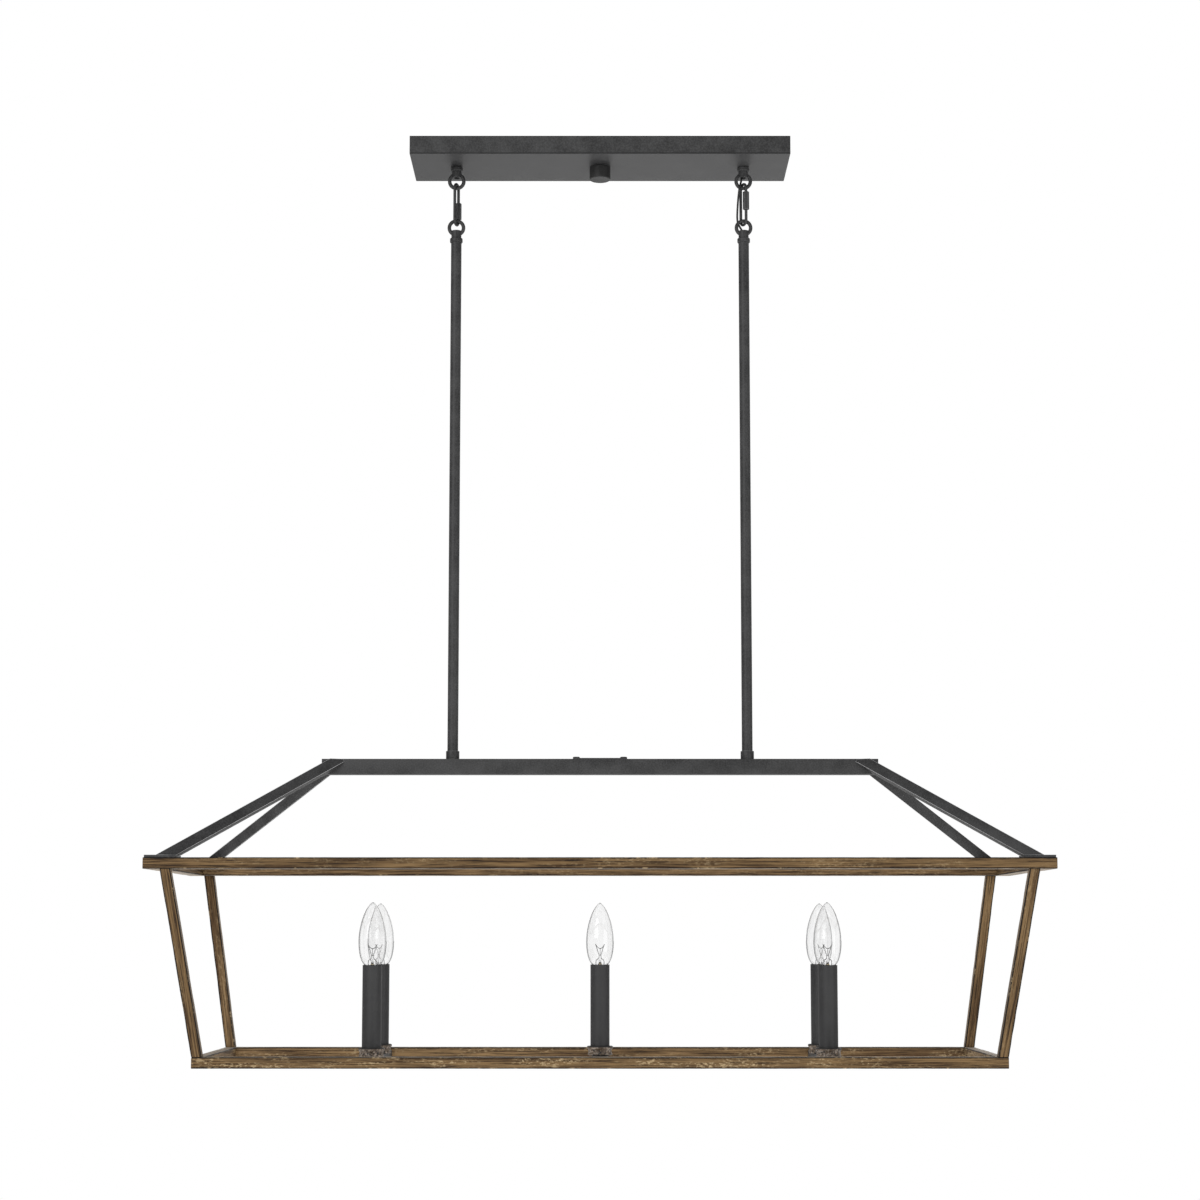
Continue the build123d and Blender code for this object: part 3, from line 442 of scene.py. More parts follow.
@dataclass(frozen=True)
class CupFinish:
    """Mottled brown, cream and black finish of the candle cups."""

    name: str = "mottled_cup"
    brown: Colour = (0.115, 0.080, 0.052)
    cream: Colour = (0.340, 0.280, 0.225)
    black: Colour = (0.014, 0.012, 0.011)
    roughness: float = 0.5
    bump: float = 0.3

    def material(self, groups: Groups) -> Material:
        """Build the material.

        Args:
            groups: Shared effects.

        Returns:
            The finished material.
        """
        made, graph, shader = start_material(self.name)
        coords = graph.coordinates()
        pale = graph.group(groups.mottle, {"Vector": coords, "Speck": 420.0, "Patch": 260.0})
        moved = graph.node("ShaderNodeMapping", {"Vector": coords, "Location": (1.3, 0.7, 2.9)})
        values = {"Vector": moved.outputs["Vector"], "Speck": 520.0, "Patch": 330.0}
        dark = graph.group(groups.mottle, values)
        spots = graph.mix(graph.ramp(pale.outputs["Mask"], 0.42, 0.72), self.brown, self.cream)
        holes = graph.mix(graph.ramp(dark.outputs["Mask"], 0.50, 0.74), spots, self.black)
        edge = graph.group(groups.edge, {"Vector": coords, "Edge": graph.painted("edge_wear_and_highlight")})
        rimmed = graph.mix(edge.outputs["Dark"], holes, self.black)
        graph.link(rimmed, shader.inputs["Base Color"])
        shader.inputs["Roughness"].default_value = self.roughness
        graph.emboss(shader, pale.outputs["Height"], self.bump, 0.6 * MM)
        return made


@dataclass(frozen=True)
class ClearGlass:
    """Clear lamp glass: faint upright streaks, and a painted grey shade where it is seen edge-on."""

    name: str = "lamp_glass"
    clear: Colour = (1.0, 1.0, 1.0)
    streak: Colour = (0.920, 0.920, 0.920)
    # Grey of the painted shade on glass seen edge-on.
    rim: Colour = (0.10, 0.10, 0.10)

    def material(self, groups: Groups) -> Material:
        """Build the material.

        Args:
            groups: Shared effects.

        Returns:
            The finished material.
        """
        made, graph, shader = start_material(self.name)
        coords = graph.coordinates()
        upright = graph.stretch(coords, (1.0, 1.0, 0.02))
        streaks = graph.group(groups.mottle, {"Vector": upright, "Speck": 520.0, "Patch": 210.0})
        graph.roughen(shader, streaks.outputs["Mask"], 0.0, 0.03)
        tone = graph.mix(streaks.outputs["Mask"], self.clear, self.streak)
        # Painted shade: the glass is tinted grey where it is seen edge-on, standing in for the dark
        # outline that clear glass shows there.
        facing = graph.node("ShaderNodeLayerWeight", {"Blend": 0.5}).outputs["Facing"]
        rimmed = graph.mix(graph.ramp(facing, 0.48, 0.84), tone, self.rim)
        graph.link(rimmed, shader.inputs["Base Color"])
        shader.inputs["Transmission Weight"].default_value = 1.0
        shader.inputs["IOR"].default_value = 1.5
        return made


# Lighter tones of the wood at the back of the cage: painted light, making up for the back bars getting
# less light.
BACK_PAINTED_LIGHT = {"middle": (0.078, 0.041, 0.016), "pale": (0.285, 0.178, 0.080)}


class Palette:
    """All the materials of the lamp, by the name of the finish."""

    FINISHES = {
        "iron": DarkIron(),
        # Hip bars: a stronger painted highlight along their eased edges.
        "iron_painted_highlight": DarkIron("iron_painted_highlight", painted_light=(0.52, 0.52, 0.525)),
        "sleeve": DarkIron("sleeve_iron", (0.020, 0.020, 0.021), (0.040, 0.040, 0.041), speck=900.0),
        "knob": DarkIron("knob_iron", (0.010, 0.010, 0.010), (0.028, 0.028, 0.028)),
        # The canopy's walls get painted shade lines along their upper and lower edges.
        "canopy": DarkIron("canopy_iron", wall=22.0 * MM),
        "zinc": PlainFinish("zinc_steel", (0.52, 0.53, 0.55), (0.66, 0.67, 0.69), 1.0, 0.34),
        "brass": PlainFinish("lamp_brass", (0.62, 0.46, 0.20), (0.74, 0.57, 0.28), 1.0, 0.28),
        "nickel": PlainFinish("nickel_wire", (0.12, 0.12, 0.12), (0.20, 0.20, 0.20), 1.0, 0.4),
        "tungsten": PlainFinish("tungsten_coil", (0.05, 0.05, 0.05), (0.09, 0.09, 0.09), 1.0, 0.5),
        "phenolic": PlainFinish("black_phenolic", (0.010, 0.010, 0.010), (0.018, 0.018, 0.018)),
        "insulation": PlainFinish("lead_insulation", (0.008, 0.008, 0.008), (0.014, 0.014, 0.014)),
        "connector": PlainFinish("connector_orange", (0.62, 0.20, 0.02), (0.72, 0.26, 0.03)),
        "glass": ClearGlass(),
        "cup": CupFinish(),
        "wood": WoodFinish("wood_finish"),
        "chipped_wood": WoodFinish("chipped_wood_finish", chips=1.0),
        # Lighter copies of the wood for the back bars: painted light standing in for the light they miss.
        "back_wood": WoodFinish("back_painted_light_wood_finish", **BACK_PAINTED_LIGHT),
        "chipped_back_painted_light_wood": WoodFinish("chipped_back_painted_light_wood", chips=0.7, **BACK_PAINTED_LIGHT),
    }

    def __init__(self, groups: Groups) -> None:
        """Build each finish once.

        Args:
            groups: Shared effects.
        """
        self.made = {name: finish.material(groups) for name, finish in self.FINISHES.items()}

    def __getitem__(self, name: str) -> Material:
        """Material of a finish."""
        return self.made[name]


# ---- Meshes -------------------------------------------------------------------------
def new_object(name: str, bm: BMesh, material: Material) -> Object:
    """Turn a bmesh into an object in the scene.

    Args:
        name: Name of the object.
        bm: Its mesh in metres, in place. It is freed here.
        material: Finish of the whole object.

    Returns:
        The new object.
    """
    mesh = bpy.data.meshes.new(name)
    bm.to_mesh(mesh)
    bm.free()
    mesh.materials.append(material)
    made = bpy.data.objects.new(name, mesh)
    bpy.context.scene.collection.objects.link(made)
    LOG.info("%s: %d faces", name, len(mesh.polygons))
    return made


def finish_piece(
    name: str, bm: BMesh, material: Material, body: str, smooth_angle: float = 35.0
) -> Object:
    """Turn a bmesh into a dressed piece that rides on a body.

    Args:
        name: Name of the piece.
        bm: Its mesh in metres, in place. It is freed here.
        material: Finish of the whole piece.
        body: Name of the body that it moves with.
        smooth_angle: Edges flatter than this, in degrees, are shaded smooth.

    Returns:
        The new object.
    """
    for face in bm.faces:
        face.smooth = True
    limit = math.radians(smooth_angle)
    for edge in bm.edges:
        edge.smooth = not (edge.is_manifold and edge.calc_face_angle(0.0) > limit)
    made = new_object(name, bm, material)
    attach(made, body)
    return made


def spun(profile: list[tuple[float, float]], centre: Vector, steps: int) -> BMesh:
    """Closed or open outline turned about a vertical axis.

    Args:
        profile: Points of radius and height in metres, in order.
        centre: Point on the axis at height 0.
        steps: Facets round the axis.

    Returns:
        The new mesh with its normals outwards.
    """
    bm = bmesh.new()
    points = [bm.verts.new((centre.x + r, centre.y, centre.z + z)) for r, z in profile]
    edges = [bm.edges.new(pair) for pair in zip(points, points[1:])]
    bmesh.ops.spin(
        bm, geom=points + edges, cent=centre, axis=(0, 0, 1), angle=math.tau, steps=steps, use_merge=True
    )
    bmesh.ops.remove_doubles(bm, verts=bm.verts, dist=1e-6)
    bmesh.ops.recalc_face_normals(bm, faces=bm.faces)
    return bm


def ease(bm: BMesh, edges: list[bmesh.types.BMEdge], width: float) -> dict:
    """Round edges in two segments.

    Args:
        bm: Mesh that they belong to.
        edges: Edges to round.
        width: Distance from each edge to the rims of its rounding.

    Returns:
        What the bevel operator gives, with the new faces.
    """
    return bmesh.ops.bevel(
        bm,
        geom=edges,
        offset=width,
        offset_type="OFFSET",
        affect="EDGES",
        segments=2,
        profile=0.5,
        material=-1,
        clamp_overlap=True,
    )


def cad_copy(node: str) -> BMesh:
    """Copy a construction node's mesh, with its flat faces merged.

    Args:
        node: Name of the node.

    Returns:
        The copy.
    """
    bm = bmesh.new()
    bm.from_mesh(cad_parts[node].data)
    bmesh.ops.remove_doubles(bm, verts=bm.verts, dist=2e-6)
    bmesh.ops.dissolve_limit(bm, angle_limit=math.radians(0.5), verts=bm.verts, edges=bm.edges)
    return bm


@dataclass
class EasedNode:
    """A construction node shown by a copy whose sharp edges are eased."""

    node: str
    width: float
    sharp: float = 50.0

    def build(self, material: Material, body: str) -> Object:
        """Ease the copy, dress it and hide the node.

        Args:
            material: Finish of the piece.
            body: Body that it rides on.

        Returns:
            The new piece.
        """
        bm = cad_copy(self.node)
        # Mark the eased strips, where the iron finishes paint their edge highlight.
        layer = bm.verts.layers.float.new("edge_wear_and_highlight")
        limit = math.radians(self.sharp)
        edges = [e for e in bm.edges if e.is_manifold and e.calc_face_angle(0.0) > limit]
        strips = set(ease(bm, edges, self.width)["faces"])
        for vert in bm.verts:
            vert[layer] = float(all(face in strips for face in vert.link_faces))
        bmesh.ops.recalc_face_normals(bm, faces=bm.faces)
        piece = finish_piece(f"{self.node}_eased", bm, material, body)
        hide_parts(self.node)
        return piece


def dress_node(node: str, material: Material) -> None:
    """Give a construction node a material in place of its plain one.

    Args:
        node: Name of the node.
        material: New finish.
    """
    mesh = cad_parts[node].data
    mesh.materials.clear()
    mesh.materials.append(material)


class Assembly:
    """Part of the lamp that takes its finishes from the palette."""

    def __init__(self, palette: Palette) -> None:
        """Keep the finishes.

        Args:
            palette: Materials of the lamp.
        """
        self.palette = palette


# ---- Wood-finished cage -------------------------------------------------------------
@dataclass
class WoodBar:
    """One straight bar of the cage with scraped, slightly uneven edges.

    Attributes:
        node: Name of the construction node that it replaces.
        start: Middle of its first end.
        end: Middle of its last end.
        side: Its width, along one side.
        up: Its height, along the other side.
        step: Distance between the loops cut across it.
        ease: Width of its rounded edges.
        border: Width of the worn strip beside an edge.
        wear: Deepest bite into an edge.
        ripple: Unevenness of its faces.
        light_share: Share of the pale painted light on its lit faces.
        lit_axis: Own axis that the faces with painted light look along.
        lit_sign: Which of the two faces on that axis get the painted light.
        seed: Offset of its grain and wear pattern.
    """

    # Noise scales along and across the bar.
    FINE = Vector((70.0, 240.0, 240.0))
    COARSE = Vector((16.0, 60.0, 60.0))

    node: str
    start: Vector
    end: Vector
    side: Vector
    up: Vector
    step: float = 4.0 * MM
    ease: float = 0.6 * MM
    border: float = 1.9 * MM
    wear: float = 0.55 * MM
    ripple: float = 0.10 * MM
    light_share: float = 1.0
    lit_axis: int = 2
    lit_sign: tuple[int, ...] = (-1, 1)
    seed: float = 0.0

    def build(self, material: Material) -> Object:
        """Shape the bar from a cube in its own frame and put it in place.

        Args:
            material: Wood finish.

        Returns:
            The new piece.
        """
        along = self.end - self.start
        width = self.side.length
        height = self.up.length
        bm = bmesh.new()
        bmesh.ops.create_cube(bm, size=1.0)
        bmesh.ops.scale(bm, vec=(along.length, width, height), verts=bm.verts)
        ease(bm, list(bm.edges), self.ease)
        self._cut_loops(bm, along.length, width, height)
        self._scrape(bm, width, height)
        columns = (along.normalized(), self.side.normalized(), self.up.normalized())
        turn = Matrix(columns).transposed().to_4x4()
        middle = Matrix.Translation((self.start + self.end) / 2)
        bmesh.ops.transform(bm, matrix=middle @ turn, verts=bm.verts)
        piece = finish_piece(f"{self.node}_wood", bm, material, Body.PENDANT.value, 60.0)
        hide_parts(self.node)
        return piece

    def _cut_loops(self, bm: BMesh, length: float, width: float, height: float) -> None:
        """Cut loops across the bar, and along it beside each edge and down the middle.

        Args:
            bm: Mesh of the bar in its own frame.
            length: Its size along X.
            width: Its size along Y.
            height: Its size along Z.
        """
        count = max(2, int(length / self.step))
        cuts = [(Vector((1, 0, 0)), length * (k / count - 0.5)) for k in range(1, count)]
        for normal, half in ((Vector((0, 1, 0)), width / 2), (Vector((0, 0, 1)), height / 2)):
            cuts += [(normal, half - self.border), (normal, 0.0), (normal, self.border - half)]
        for normal, offset in cuts:
            geometry = list(bm.verts) + list(bm.edges) + list(bm.faces)
            place = normal * offset
            bmesh.ops.bisect_plane(bm, geom=geometry, dist=1e-7, plane_co=place, plane_no=normal)

    def _scrape(self, bm: BMesh, width: float, height: float) -> None:
        """Wear the edges by noise, and paint the edges, the painted light on the lit faces and the grain's
        place.

        Args:
            bm: Mesh of the bar in its own frame.
            width: Its size along Y.
            height: Its size along Z.
        """
        layer = bm.verts.layers.float.new("edge_wear_and_highlight")
        painted_light = bm.verts.layers.float.new("face_painted_light")
        grain = bm.verts.layers.float_vector.new("grain_place")
        start = Vector((self.seed, self.seed * 0.37, self.seed * 0.61))
        shift = Vector((self.seed, 0.0, 0.0))
        outer = (width, height)[self.lit_axis - 1] / 2 - SAME_PLACE
        for vert in bm.verts:
            vert[grain] = vert.co + start
            # Painted light: mark the faces on the chosen axis, whose edges then lose the dark edge tone.
            away = vert.co[self.lit_axis]
            on_lit_face = float(any(away * sign > outer for sign in self.lit_sign))
            vert[painted_light] = self.light_share * on_lit_face
            to_side = width / 2 - abs(vert.co.y)
            to_top = height / 2 - abs(vert.co.z)
            near = max(to_side, to_top)
            edge = max(0.0, min(1.0, 1.0 - (near - self.ease) / (self.border - self.ease)))
            vert[layer] = edge * (1.0 - self.light_share * on_lit_face)
            fine = self.FINE * vert.co + shift
            coarse = self.COARSE * vert.co + shift
            bite = max(0.0, noise.noise(fine) * 0.7 + noise.noise(coarse) * 0.6)
            inward = Vector((0.0, -math.copysign(1.0, vert.co.y), -math.copysign(1.0, vert.co.z)))
            swell = noise.noise(coarse * 2.3) * self.ripple
            outward = Vector((0.0, vert.co.y / width, vert.co.z / height))
            vert.co += inward * (bite * self.wear * edge) + outward * swell


class Cage(Assembly):
    """Upper and lower rectangles and the four leaning legs."""

    SIDES = ("front", "back", "left", "right")
    CORNERS = ("front_left", "front_right", "back_left", "back_right")
    SEED_STEP = 7.3
    # Finish and face with painted light (1 upper, -1 under) of a rail, by lower level and by back rail;
    # back rails take the lighter painted-light copies.
    RAIL_FINISHES = {
        (False, False): ("wood", -1),
        (False, True): ("back_wood", -1),
        (True, False): ("chipped_wood", 1),
        (True, True): ("chipped_back_painted_light_wood", 1),
    }

    def build(self) -> None:
        """Make the eight rails and four legs, each with its own pattern."""
        seed = 0.0
        for level in ("top_rail", "bottom_rail"):
            for side in self.SIDES:
                self._rail(f"{level}_{side}", seed)
                seed += self.SEED_STEP
        for corner in self.CORNERS:
            self._leg(f"leg_{corner}", seed)
            seed += self.SEED_STEP

    def _rail(self, node: str, seed: float) -> None:
        """Make one level rail from its node's box.

        Args:
            node: Name of the rail's node.
            seed: Offset of its wear pattern.
        """
        low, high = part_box(node)
        middle = (low + high) / 2
        size = high - low
        if node.endswith(("front", "back")):
            reach = Vector((size.x / 2, 0, 0))
            side = Vector((0, size.y, 0))
        else:
            reach = Vector((0, size.y / 2, 0))
            side = Vector((-size.x, 0, 0))
        material, sign = self.RAIL_FINISHES[node.startswith("bottom"), node.endswith("back")]
        up = Vector((0, 0, size.z))
        bar = WoodBar(node, middle - reach, middle + reach, side, up, lit_sign=(sign,), seed=seed)
        bar.build(self.palette[material])

    def _leg(self, node: str, seed: float) -> None:
        """Make one leg between the level sections at its ends.

        Args:
            node: Name of the leg's node.
            seed: Offset of its wear pattern.
        """
        low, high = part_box(node)
        points = [v.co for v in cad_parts[node].data.vertices]
        ends = []
        for height in (low.z, high.z):
            level = [p for p in points if abs(p.z - height) < SAME_PLACE]
            x_pair = (min(p.x for p in level), max(p.x for p in level))
            y_pair = (min(p.y for p in level), max(p.y for p in level))
            ends.append((Vector((sum(x_pair) / 2, sum(y_pair) / 2, height)), x_pair, y_pair))
        (foot, foot_x, foot_y), (top, *_) = ends
        side = Vector((foot_x[1] - foot_x[0], 0, 0))
        up = Vector((0, foot_y[1] - foot_y[0], 0))
        # Legs get a weaker painted light on both their side faces.
        bar = WoodBar(node, foot, top, side, up, light_share=0.3, lit_axis=1, seed=seed)
        # Back legs take the lighter copy of the wood: painted light.
        bar.build(self.palette["back_wood"] if "back" in node else self.palette["wood"])


# ---- Iron frame ---------------------------------------------------------------------
class IronFrame(Assembly):
    """Canopy, suspension, stems, ridge bar, hip bars, plates and channels."""

    # Width in mm of the eased edges.
    EASED = {
        "ridge_bar": 0.7,
        "ridge_cover": 0.3,
        "corner_plates": 0.5,
        "stem_couplings": 0.5,
        **{f"cross_channel_{place}": 0.5 for place in ("left", "middle", "right")},
        **{f"hip_bar_{corner}": 1.1 for corner in Cage.CORNERS},
    }
    NUT_EASE = 0.35 * MM
    PAIRS = ("canopy_loop", "quick_link", "stem_loop", "stem")

    def build(self) -> None:
        """Ease the sharp nodes and dress the round ones."""
        for node, width in self.EASED.items():
            # Hip bars take the finish with the stronger painted edge highlight.
            material = self.palette["iron_painted_highlight"] if node.startswith("hip_bar") else self.palette["iron"]
            EasedNode(node, width * MM).build(material, Body.PENDANT.value)
        for node, body in (("link_nut_left", Body.NUT_LEFT), ("link_nut_right", Body.NUT_RIGHT)):
            EasedNode(node, self.NUT_EASE).build(self.palette["iron"], body.value)
        for name in self.PAIRS:
            for side in ("left", "right"):
                dress_node(f"{name}_{side}", self.palette["iron"])
        dress_node("cover_screws", self.palette["iron"])
        dress_node("canopy_pan", self.palette["canopy"])
        dress_node("canopy_knob", self.palette["knob"])


# ---- Candles and lamps --------------------------------------------------------------
@dataclass
class Lamp:
    """One torpedo lamp: glass, mount, wires, filament and screw base.

    Attributes:
        place: Name of the candle that it stands on.
        palette: Materials of the lamp.
        wall: Thickness of the glass.
        steps: Facets round the glass.
        lead_in: Radius of the lead-in wires.
        support: Radius of the support wire.
        filament: Radius of the filament's wire.
        coil: Radius of its turns.
        turns: Number of its turns.
        press_height: Height above which the mount is pressed flat.
        press_depth: Share of the mount's depth left by the press.
    """

    place: str
    palette: Palette
    wall: float = 0.55 * MM
    steps: int = 64
    lead_in: float = 0.42 * MM
    support: float = 0.34 * MM
    filament: float = 0.16 * MM
    coil: float = 0.42 * MM
    turns: int = 26
    press_height: float = 7.0 * MM
    press_depth: float = 0.55

    @property
    def body(self) -> str:
        """Body that the lamp moves with."""
        return f"lamp_{self.place}"

    def build(self) -> None:
        """Make and dress all the pieces of the lamp."""
        low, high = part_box(f"bulb_glass_{self.place}")
        self.axis = Vector(((low.x + high.x) / 2, (low.y + high.y) / 2, low.z))
        self.height = high.z - low.z
        self.radius = (high.x - low.x) / 2
        self._glass()
        self._mount()
        self._wires()
        self._base()

    def _outline(self, inset: float) -> list[tuple[float, float]]:
        """Points of the glass from its neck to its tip.

        Args:
            inset: How far they are moved in from the outside.

        Returns:
            Radius and height of each point.
        """
        shares = [
            (0.366, 0.000), (0.470, 0.012), (0.576, 0.031), (0.680, 0.058), (0.780, 0.098),
            (0.873, 0.156), (0.945, 0.230), (0.985, 0.305), (1.000, 0.385), (0.990, 0.465),
            (0.960, 0.535), (0.905, 0.607), (0.830, 0.680), (0.735, 0.750), (0.620, 0.818),
            (0.490, 0.879), (0.360, 0.926), (0.235, 0.962), (0.115, 0.989), (0.0, 1.0),
        ]
        last = len(shares) - 1
        points = []
        for index, (r, h) in enumerate(shares):
            rise = index / last
            radius = max(0.0, self.radius * r - inset * (1 - rise**6))
            points.append((radius, self.height * h - inset * rise**3))
        return points

    def _glass(self) -> None:
        """Envelope with an outer and an inner wall joined at the neck."""
        outer = self._outline(0.0)
        inner = self._outline(self.wall)
        bm = spun(outer + inner[::-1][1:] + [outer[0]], self.axis, self.steps)
        glass = finish_piece(f"bulb_envelope_{self.place}", bm, self.palette["glass"], self.body, 80.0)
        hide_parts(f"bulb_glass_{self.place}")

    def _mount(self) -> None:
        """Glass stem with a flare at the neck and a rounded press on top."""
        profile = [
            (0.0, 0.2), (4.0, 0.2), (4.2, 0.8), (3.2, 1.8), (1.9, 3.4), (1.4, 6.0),
            (1.3, 10.5), (1.6, 12.2), (1.2, 13.4), (0.0, 13.8),
        ]
        bm = spun([(r * MM, z * MM) for r, z in profile], self.axis, 32)
        squeezed = [v for v in bm.verts if v.co.z > self.axis.z + self.press_height]
        flatten = Matrix.Translation(self.axis) @ Matrix.Diagonal((1.0, self.press_depth, 1.0, 1.0))
        bmesh.ops.transform(bm, matrix=flatten @ Matrix.Translation(-self.axis), verts=squeezed)
        mount = finish_piece(f"bulb_mount_{self.place}", bm, self.palette["glass"], self.body, 80.0)

    def _wires(self) -> None:
        """Two lead-in wires, one support and the coiled filament."""
        rise = self.axis + Vector((0, 0, 13.0 * MM))
        ends = []
        for side in (-1, 1):
            foot = [(4.6, 0.4), (4.8, 4.0), (4.6, 7.6), (2.6, 8.8), (1.3, 9.8), (1.0, 12.5), (1.6, 15.5)]
            route = [self.axis + Vector((side * x, 0, z)) * MM for x, z in foot]
            end = rise + Vector((side * 5.2 * MM, side * 0.8 * MM, 13.0 * MM))
            ends.append(end)
            name = f"lead_in_{'left' if side < 0 else 'right'}_{self.place}"
            wire_piece(name, [*route, end], self.lead_in, self.palette["nickel"], self.body)
        top = rise + Vector((0.3 * MM, -1.6 * MM, 8.0 * MM))
        root = self.axis + Vector((0, -0.4 * MM, 12.8 * MM))
        post = [root, root.lerp(top, 0.5), top]
        wire_piece(f"support_{self.place}", post, self.support, self.palette["nickel"], self.body)
        self._filament(ends, top)

    def _filament(self, ends: list[Vector], low: Vector) -> None:
        """Coil between the lead-in wires, hung over the support.

        Args:
            ends: Tips of the two lead-in wires.
            low: Tip of the support.
        """
        samples = self.turns * 8
        points = []
        for k in range(samples + 1):
            t = k / samples
            base = ends[0].lerp(ends[1], t)
            sag = 1.0 - (2.0 * t - 1.0) ** 2
            base = base + (low - (ends[0] + ends[1]) / 2) * sag
            angle = math.tau * self.turns * t
            curl = Vector((0, math.cos(angle), math.sin(angle))) * self.coil
            points.append(base + curl)
        name = f"filament_{self.place}"
        wire_piece(name, points, self.filament, self.palette["tungsten"], self.body, 4)

    def _base(self) -> None:
        """Screw shell with rolled thread ridges, insulator and centre contact."""
        low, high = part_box(f"bulb_base_{self.place}")
        radius = (high.x - low.x) / 2
        top = high.z - low.z
        thread_low = 6.4 * MM
        ridges = 5
        pitch = (top - 3.2 * MM - thread_low) / ridges
        profile = [(0.0, 0.0), (1.9 * MM, 0.15 * MM), (2.5 * MM, 0.9 * MM), (2.6 * MM, 2.6 * MM)]
        profile += [(radius - 1.4 * MM, 4.9 * MM), (radius - 0.5 * MM, 5.6 * MM)]
        for k in range(ridges * 4 + 1):
            swell = 0.28 * MM * (1 + math.cos(math.tau * k / 4)) / 2
            profile.append((radius - 0.35 * MM + swell, thread_low + pitch * k / 4))
        profile += [(radius - 0.1 * MM, top - 2.4 * MM), (radius, top - 0.4 * MM)]
        profile += [(radius - 0.4 * MM, top), (0.0, top)]
        bm = spun(profile, Vector((self.axis.x, self.axis.y, low.z)), 40)
        base = finish_piece(f"bulb_shell_{self.place}", bm, self.palette["brass"], self.body, 50.0)
        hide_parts(f"bulb_base_{self.place}")


def wire_piece(
    name: str, points: list[Vector], radius: float, material: Material, body: str, sides: int = 8
) -> Object:
    """Round wire along a smooth curve, as a mesh.

    Args:
        name: Name of the piece.
        points: Control points of the curve.
        radius: Radius of the wire.
        material: Its finish.
        body: Body that it rides on.
        sides: Facets round the wire.

    Returns:
        The new piece.
    """
    curve = bpy.data.curves.new(name, "CURVE")
    curve.dimensions = "3D"
    curve.bevel_depth = radius
    curve.bevel_resolution = max(0, sides // 4 - 1)
    curve.use_fill_caps = True
    curve.resolution_u = 1 if len(points) > 30 else 8
    spline = curve.splines.new("NURBS")
    spline.points.add(len(points) - 1)
    for target, point in zip(spline.points, points):
        target.co = (*point, 1.0)
    spline.order_u = 3
    spline.use_endpoint_u = True
    holder = bpy.data.objects.new(name, curve)
    bpy.context.scene.collection.objects.link(holder)
    bpy.context.view_layer.update()
    shape = holder.evaluated_get(bpy.context.evaluated_depsgraph_get())
    bm = bmesh.new()
    bm.from_mesh(shape.to_mesh())
    bpy.data.objects.remove(holder)
    bmesh.ops.remove_doubles(bm, verts=bm.verts, dist=1e-6)
    return finish_piece(name, bm, material, body, 60.0)


class Candles(Assembly):
    """Cups, sleeves and sockets on the cross channels, with their lamps."""

    PLACES = ("front_right", "back_right", "middle", "front_left", "back_left")
    CUP_REACH = 25.0 * MM
    CUP_OUTSIDE = 12.0 * MM
    CUP_JOG = 0.35 * MM
    CUP_BEAD = 0.84

    def build(self) -> None:
        """Make the cups and lamps and dress what they stand on."""
        for place in self.PLACES:
            lamp = Lamp(place, self.palette)
            lamp.build()
            self._cup(place, lamp.axis)
        dress_node("candle_sleeves", self.palette["sleeve"])
        dress_node("sockets", self.palette["phenolic"])
        dress_node("socket_contacts", self.palette["brass"])
        for node in ("socket_nipples", "nipple_nuts"):
            dress_node(node, self.palette["zinc"])

    def _cup(self, place: str, axis: Vector) -> None:
        """Turned cup with a bead at its foot and a dark one round its mouth.

        Args:
            place: Name of the candle's place.
            axis: Point on the candle's axis.
        """
        low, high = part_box("candle_cups")
        depth = high.z - low.z
        points = [v.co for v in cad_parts["candle_cups"].data.vertices]
        spans = [math.hypot(p.x - axis.x, p.y - axis.y) for p in points]
        radius = max(span for span in spans if span < self.CUP_REACH)
        profile = [
            (0.350, 0.00), (0.904, 0.00), (0.952, 0.05), (0.960, 0.13), (0.918, 0.23), (0.904, 0.44),
            (0.918, 0.62), (0.960, 0.70), (0.990, 0.78), (0.990, 0.93), (0.950, 1.00), (0.836, 1.00),
            (0.795, 0.96), (0.788, 0.28), (0.350, 0.28), (0.350, 0.00),
        ]
        outline = [(r * radius, z * depth) for r, z in profile]
        bm = spun(outline, Vector((axis.x, axis.y, low.z)), 48)
        layer = bm.verts.layers.float.new("edge_wear_and_highlight")
        for vert in bm.verts:
            rise = (vert.co.z - low.z) / depth
            vert[layer] = max(0.0, min(1.0, (rise - self.CUP_BEAD) * 8.0))
            jog = noise.noise(vert.co * 160.0) * self.CUP_JOG
            outward = Vector((vert.co.x - axis.x, vert.co.y - axis.y, 0))
            if outward.length > self.CUP_OUTSIDE:
                vert.co += outward.normalized() * jog
        cup = finish_piece(f"candle_cup_{place}", bm, self.palette["cup"], Body.PENDANT.value, 60.0)
        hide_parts("candle_cups")


